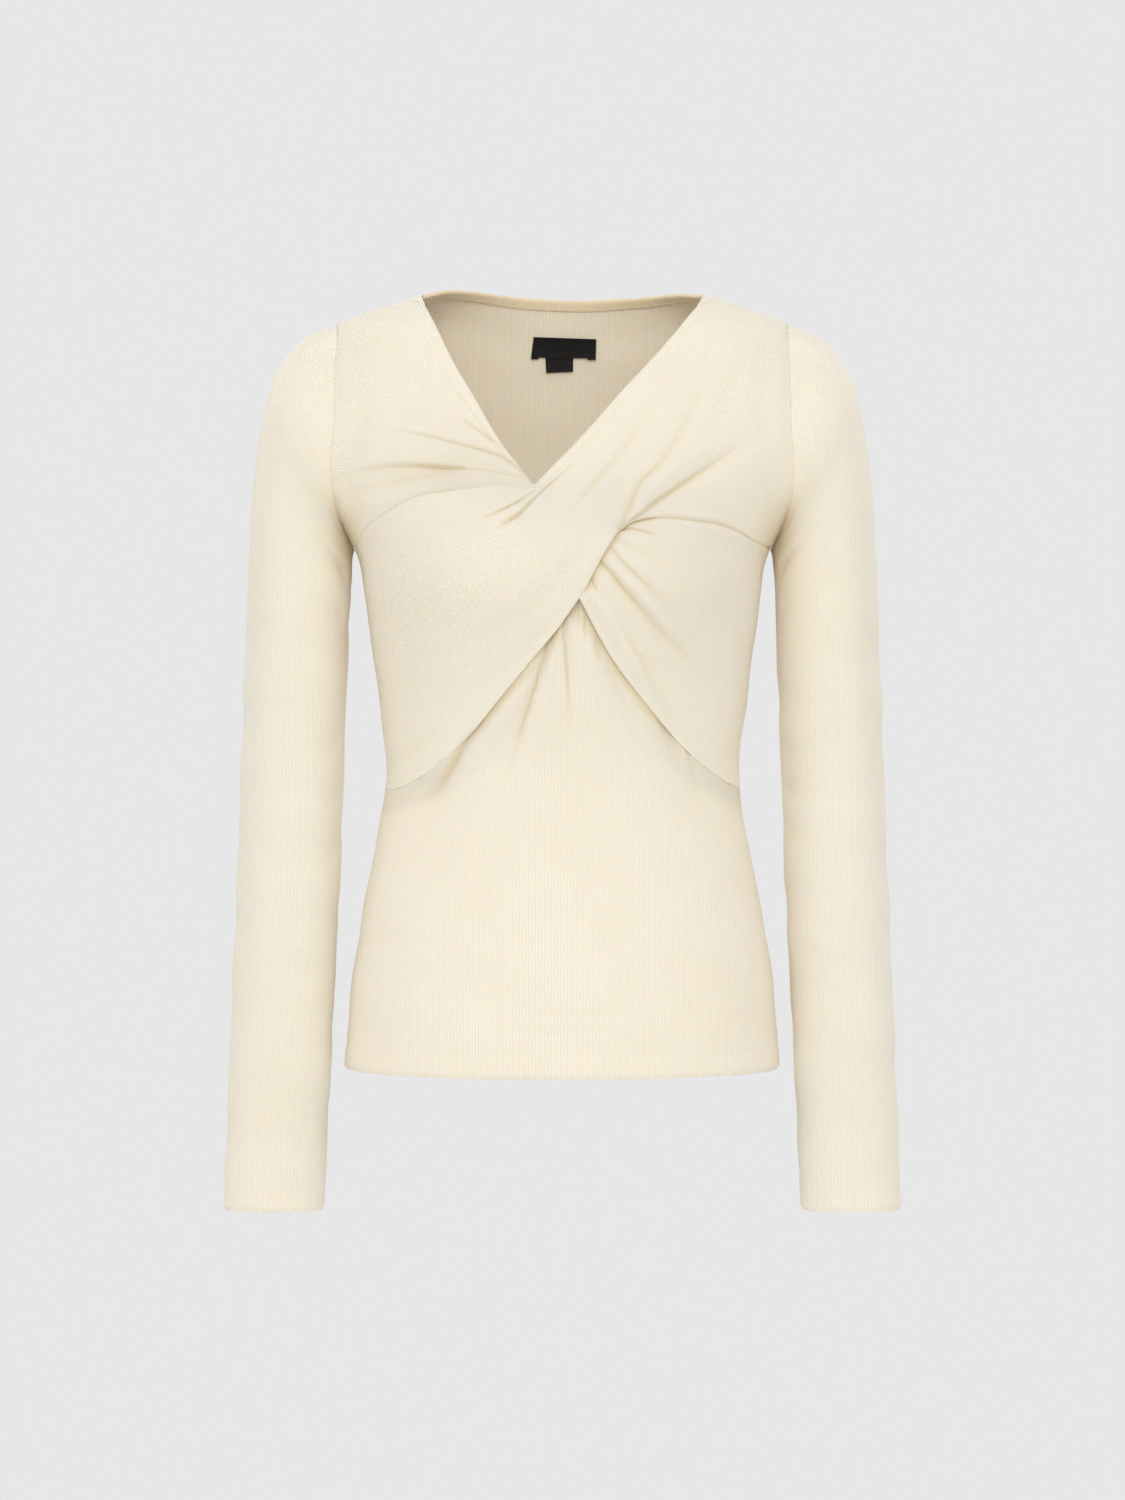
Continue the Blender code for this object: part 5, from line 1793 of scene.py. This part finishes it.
@dataclass
class NeckLabels:
    """The bare woven label inside the back neck, and the bare size tab under it."""

    form: WornForm = WornForm()
    wall: float = 0.5
    columns: int = 80
    rows: int = 14
    end_sharp: float = 0.8  # how soon a folded end begins to show below the label, mm
    end_more: float = 1.0  # the right folded end is this much wider
    curl_left: float = 0.5  # how far each side edge curls away from the back
    curl_right: float = 0.35
    curl_wide: float = 3.0
    ripple: float = 0.25  # height of the lower edge's ripple
    ripple_turn: float = 8.2  # radians from its left end to its right
    ripple_start: float = 0.6
    label: Tape = Tape((-21.5, -20.8), (25.1, -22.4), (-23.6, -35.6), (24.8, -36.2), 2.4, 0.6, 1.2)
    tab: Tape = Tape((-12.9, -34.0), (8.0, -34.0), (-12.2, -46.8), (7.8, -46.0), 1.7, 1.0)

    def cloth(self, name: str, tape: Tape) -> Cloth:
        """A piece of tape on the inside of the back, whose lower edge stands off a little.

        Args:
            name: What the piece is called.
            tape: Where it lies.

        Returns:
            The piece, to be built.
        """
        u, v = np.meshgrid(np.linspace(0, 1, self.columns + 1), np.linspace(0, 1, self.rows + 1))
        corners = (tape.top_left, tape.top_right, tape.low_left, tape.low_right)
        shares = ((1 - u) * (1 - v), u * (1 - v), (1 - u) * v, u * v)
        places = sum(share[..., None] * np.array(corner) for share, corner in zip(shares, corners))
        x, z = places.transpose(2, 0, 1)
        from_left, from_right = x - x.min(), x.max() - x
        ends = eased((tape.end_wide - from_left) / self.end_sharp)
        ends += eased((tape.end_wide + self.end_more - from_right) / self.end_sharp)
        z = z - tape.end_fold * ends * v
        grid = np.stack([self.form.turn_at(x, z, back=True), z], axis=-1)
        curl = self.curl_left * np.exp(-((from_left / self.curl_wide) ** 2))
        curl += self.curl_right * np.exp(-((from_right / self.curl_wide) ** 2))
        wave = self.ripple * np.sin(self.ripple_turn * u + self.ripple_start)
        points = self.form.moved_out(grid, lambda x, z: -tape.off - tape.sag * v**2 - wave * v - curl * v)
        return Cloth(name, points, np.stack([x, z], axis=-1), wall=self.wall)

    def build(self, material: bpy.types.Material) -> None:
        """Args:
            material: The finish of both tapes.
        """
        parts = (
            ("neck_label", self.label, "label", (0.050, 0.016)),
            ("size_label", self.tab, "size_tab", (0.0215, 0.0125)),
        )
        for name, tape, node, flat in parts:
            piece = self.cloth(name, tape).build(material)
            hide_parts(node)
            dressed(piece)


@dataclass
class StitchTree:
    """Geometry Nodes that lay a row of short stitches along a line."""

    stitch: float = 1.9  # mm
    gap: float = 0.8
    thread: float = 0.26  # radius

    def tree(self, material: bpy.types.Material) -> bpy.types.NodeTree:
        """Build the node tree, with its sizes as named inputs in metres.

        Args:
            material: The finish of the thread.

        Returns:
            The node group.
        """
        made = bpy.data.node_groups.new("stitch_row", "GeometryNodeTree")
        face = made.interface
        face.new_socket("Geometry", in_out="INPUT", socket_type="NodeSocketGeometry")
        for name, size in (("Stitch", self.stitch), ("Gap", self.gap), ("Thread", self.thread)):
            socket = face.new_socket(name, in_out="INPUT", socket_type="NodeSocketFloat")
            socket.default_value = size * MM
        face.new_socket("Geometry", in_out="OUTPUT", socket_type="NodeSocketGeometry")
        add = partial(add_node, made)
        source = add("NodeGroupInput").outputs
        pitch = add("ShaderNodeMath", {0: source["Stitch"], 1: source["Gap"]}, operation="ADD")
        line = add("GeometryNodeMeshToCurve", {"Mesh": source["Geometry"]})
        even = add("GeometryNodeResampleCurve", {"Curve": line, "Length": pitch}, mode="LENGTH")
        half = add("ShaderNodeMath", {0: source["Stitch"], 1: 0.5}, operation="MULTIPLY")
        size = add("ShaderNodeCombineXYZ", {0: source["Thread"], 1: source["Thread"], 2: half})
        bead = add("GeometryNodeMeshUVSphere", {"Segments": 6, "Rings": 4, "Radius": 1.0})
        along = add("GeometryNodeInputTangent")
        turn = add("FunctionNodeAlignEulerToVector", {"Vector": along}, axis="Z")
        places = {"Points": even, "Instance": bead, "Rotation": turn, "Scale": size}
        laid = add("GeometryNodeInstanceOnPoints", places)
        smooth = add("GeometryNodeSetShadeSmooth", {0: add("GeometryNodeRealizeInstances", {0: laid})})
        dyed = add("GeometryNodeSetMaterial", {"Geometry": smooth, "Material": material})
        add("NodeGroupOutput", {0: dyed})
        return made

    def sew(self, name: str, line: np.ndarray, thread: bpy.types.Material) -> None:
        """Lay stitches along a line of points in mm, as one plain mesh.

        Args:
            name: What the row is called.
            line: Points of the seam, mm.
            thread: The finish of the thread.
        """
        mesh = bpy.data.meshes.new(name + "_line")
        mesh.from_pydata([tuple(p) for p in line * MM], [(i, i + 1) for i in range(len(line) - 1)], [])
        guide = bpy.data.objects.new(name + "_line", mesh)
        bpy.context.scene.collection.objects.link(guide)
        nodes = guide.modifiers.new("stitches", "NODES")
        nodes.node_group = self.tree(thread)
        sizes = {"Stitch": self.stitch, "Gap": self.gap, "Thread": self.thread}
        for socket in nodes.node_group.interface.items_tree:
            if socket.name in sizes:
                nodes[socket.identifier] = sizes[socket.name] * MM
        evaluated = guide.evaluated_get(bpy.context.evaluated_depsgraph_get())
        sewn = bpy.data.meshes.new_from_object(evaluated)
        guide.modifiers.remove(nodes)
        bpy.data.objects.remove(guide)
        if not sewn.materials:
            sewn.materials.append(thread)
        piece = bpy.data.objects.new(name, sewn)
        bpy.context.scene.collection.objects.link(piece)
        dressed(piece)


# ---- Studio ----


@dataclass(frozen=True)
class Lamp:
    """A soft square light that faces the top: its place and its side in metres, and its power in watts."""

    name: str
    place: tuple[float, float, float]
    size: float
    power: float


@dataclass
class Studio:
    """A pale floor far below, soft light mostly from the front and from behind, and a level camera."""

    eye: tuple[float, float, float] = (0.0, -2.4, -0.3276)
    lens: float = 80.0
    sensor: float = 36.0
    lamps: tuple[Lamp, ...] = (
        Lamp("high_light", (0.1, -2.9, 0.8), 1.2, 31.5),
        Lamp("front_light", (0.0, -3.2, -0.2), 1.6, 14.5),
        Lamp("top_light", (0.0, -0.7, 1.7), 1.2, 5.5),
        Lamp("left_light", (-2.4, -0.6, 0.1), 1.4, 7.0),
        Lamp("right_light", (2.4, -0.9, 0.3), 1.4, 4.0),
        Lamp("rear_left_light", (-1.7, 1.7, 0.9), 1.6, 20.0),
        Lamp("rear_right_light", (1.7, 1.7, 0.7), 1.6, 21.0),
    )
    floor_z: float = -1.3
    floor_radius: float = 1.8
    floor_sides: int = 96
    surround: str = "#E7E7E7"
    glow: float = 0.6  # the surround's strength as a light

    def floor(self) -> None:
        """A round floor, far enough below to keep its shadow soft."""
        disc = bmesh.new()
        bmesh.ops.create_circle(disc, cap_ends=True, segments=self.floor_sides, radius=self.floor_radius)
        for vert in disc.verts:
            vert.co.z = self.floor_z
        mesh = bpy.data.meshes.new("studio_floor")
        disc.to_mesh(mesh)
        disc.free()
        mesh.materials.append(StudioPaint("matt_floor_paint").material())
        piece = bpy.data.objects.new("studio_floor", mesh)
        bpy.context.scene.collection.objects.link(piece)

    def light(self, lamp: Lamp) -> None:
        """Set up one lamp, turned to the top's middle.

        Args:
            lamp: Which one.
        """
        source = bpy.data.lights.new(lamp.name, "AREA")
        source.size, source.energy = lamp.size, lamp.power
        holder = bpy.data.objects.new(lamp.name, source)
        holder.location = lamp.place
        aim = Vector((0.0, 0.0, self.eye[2])) - Vector(lamp.place)
        holder.rotation_euler = aim.to_track_quat("-Z", "Y").to_euler()
        bpy.context.scene.collection.objects.link(holder)

    def surround_light(self) -> None:
        """A plain surround, dimmer as a light than it looks, so that the lamps shape the folds."""
        world = bpy.data.worlds.new("studio_surround")
        world.use_nodes = True
        tree = world.node_tree
        seen = tree.nodes["Background"]
        seen.inputs[0].default_value = linear(self.surround)
        glow = add_node(tree, "ShaderNodeBackground", {0: linear(self.surround), 1: self.glow})
        path = add_node(tree, "ShaderNodeLightPath")
        both = add_node(tree, "ShaderNodeMixShader", {0: path, 1: glow, 2: seen})
        set_inputs(tree, tree.nodes["World Output"], {0: both})
        bpy.context.scene.world = world

    def build(self) -> None:
        """Set up the floor, the lights, the surround and the camera."""
        scene = bpy.context.scene
        self.floor()
        for lamp in self.lamps:
            self.light(lamp)
        self.surround_light()
        camera = bpy.data.cameras.new("camera")
        camera.lens, camera.sensor_width = self.lens, self.sensor
        holder = bpy.data.objects.new("camera", camera)
        holder.location = self.eye
        holder.rotation_euler = (math.pi / 2, 0.0, 0.0)
        scene.collection.objects.link(holder)
        scene.camera = holder
        scene.view_settings.view_transform = "Standard"
        LOG.info("studio ready")


def main() -> None:
    """Build every piece in order."""
    logging.basicConfig(level=logging.INFO, format="%(name)s: %(message)s")
    LOG.info("%d solids to dress", len(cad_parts))
    knit = RibKnit("rib_knit_cotton_viscose").material()
    binding = KnitBinding("jersey_binding").material()
    tape = WovenTape("woven_polyester_tape").material()
    thread = SewingThread("spun_polyester_thread").material()
    CrossedFronts().build(knit)
    LowerFront().build(knit)
    panel = BackPanel().build(knit)
    Sleeves().build(knit)
    seam = NeckBinding().build(binding, panel)
    NeckLabels().build(tape)
    StitchTree().sew("binding_stitches", seam, thread)
    Studio().build()
    LOG.info("sizes written")


if __name__ == "__main__":
    main()
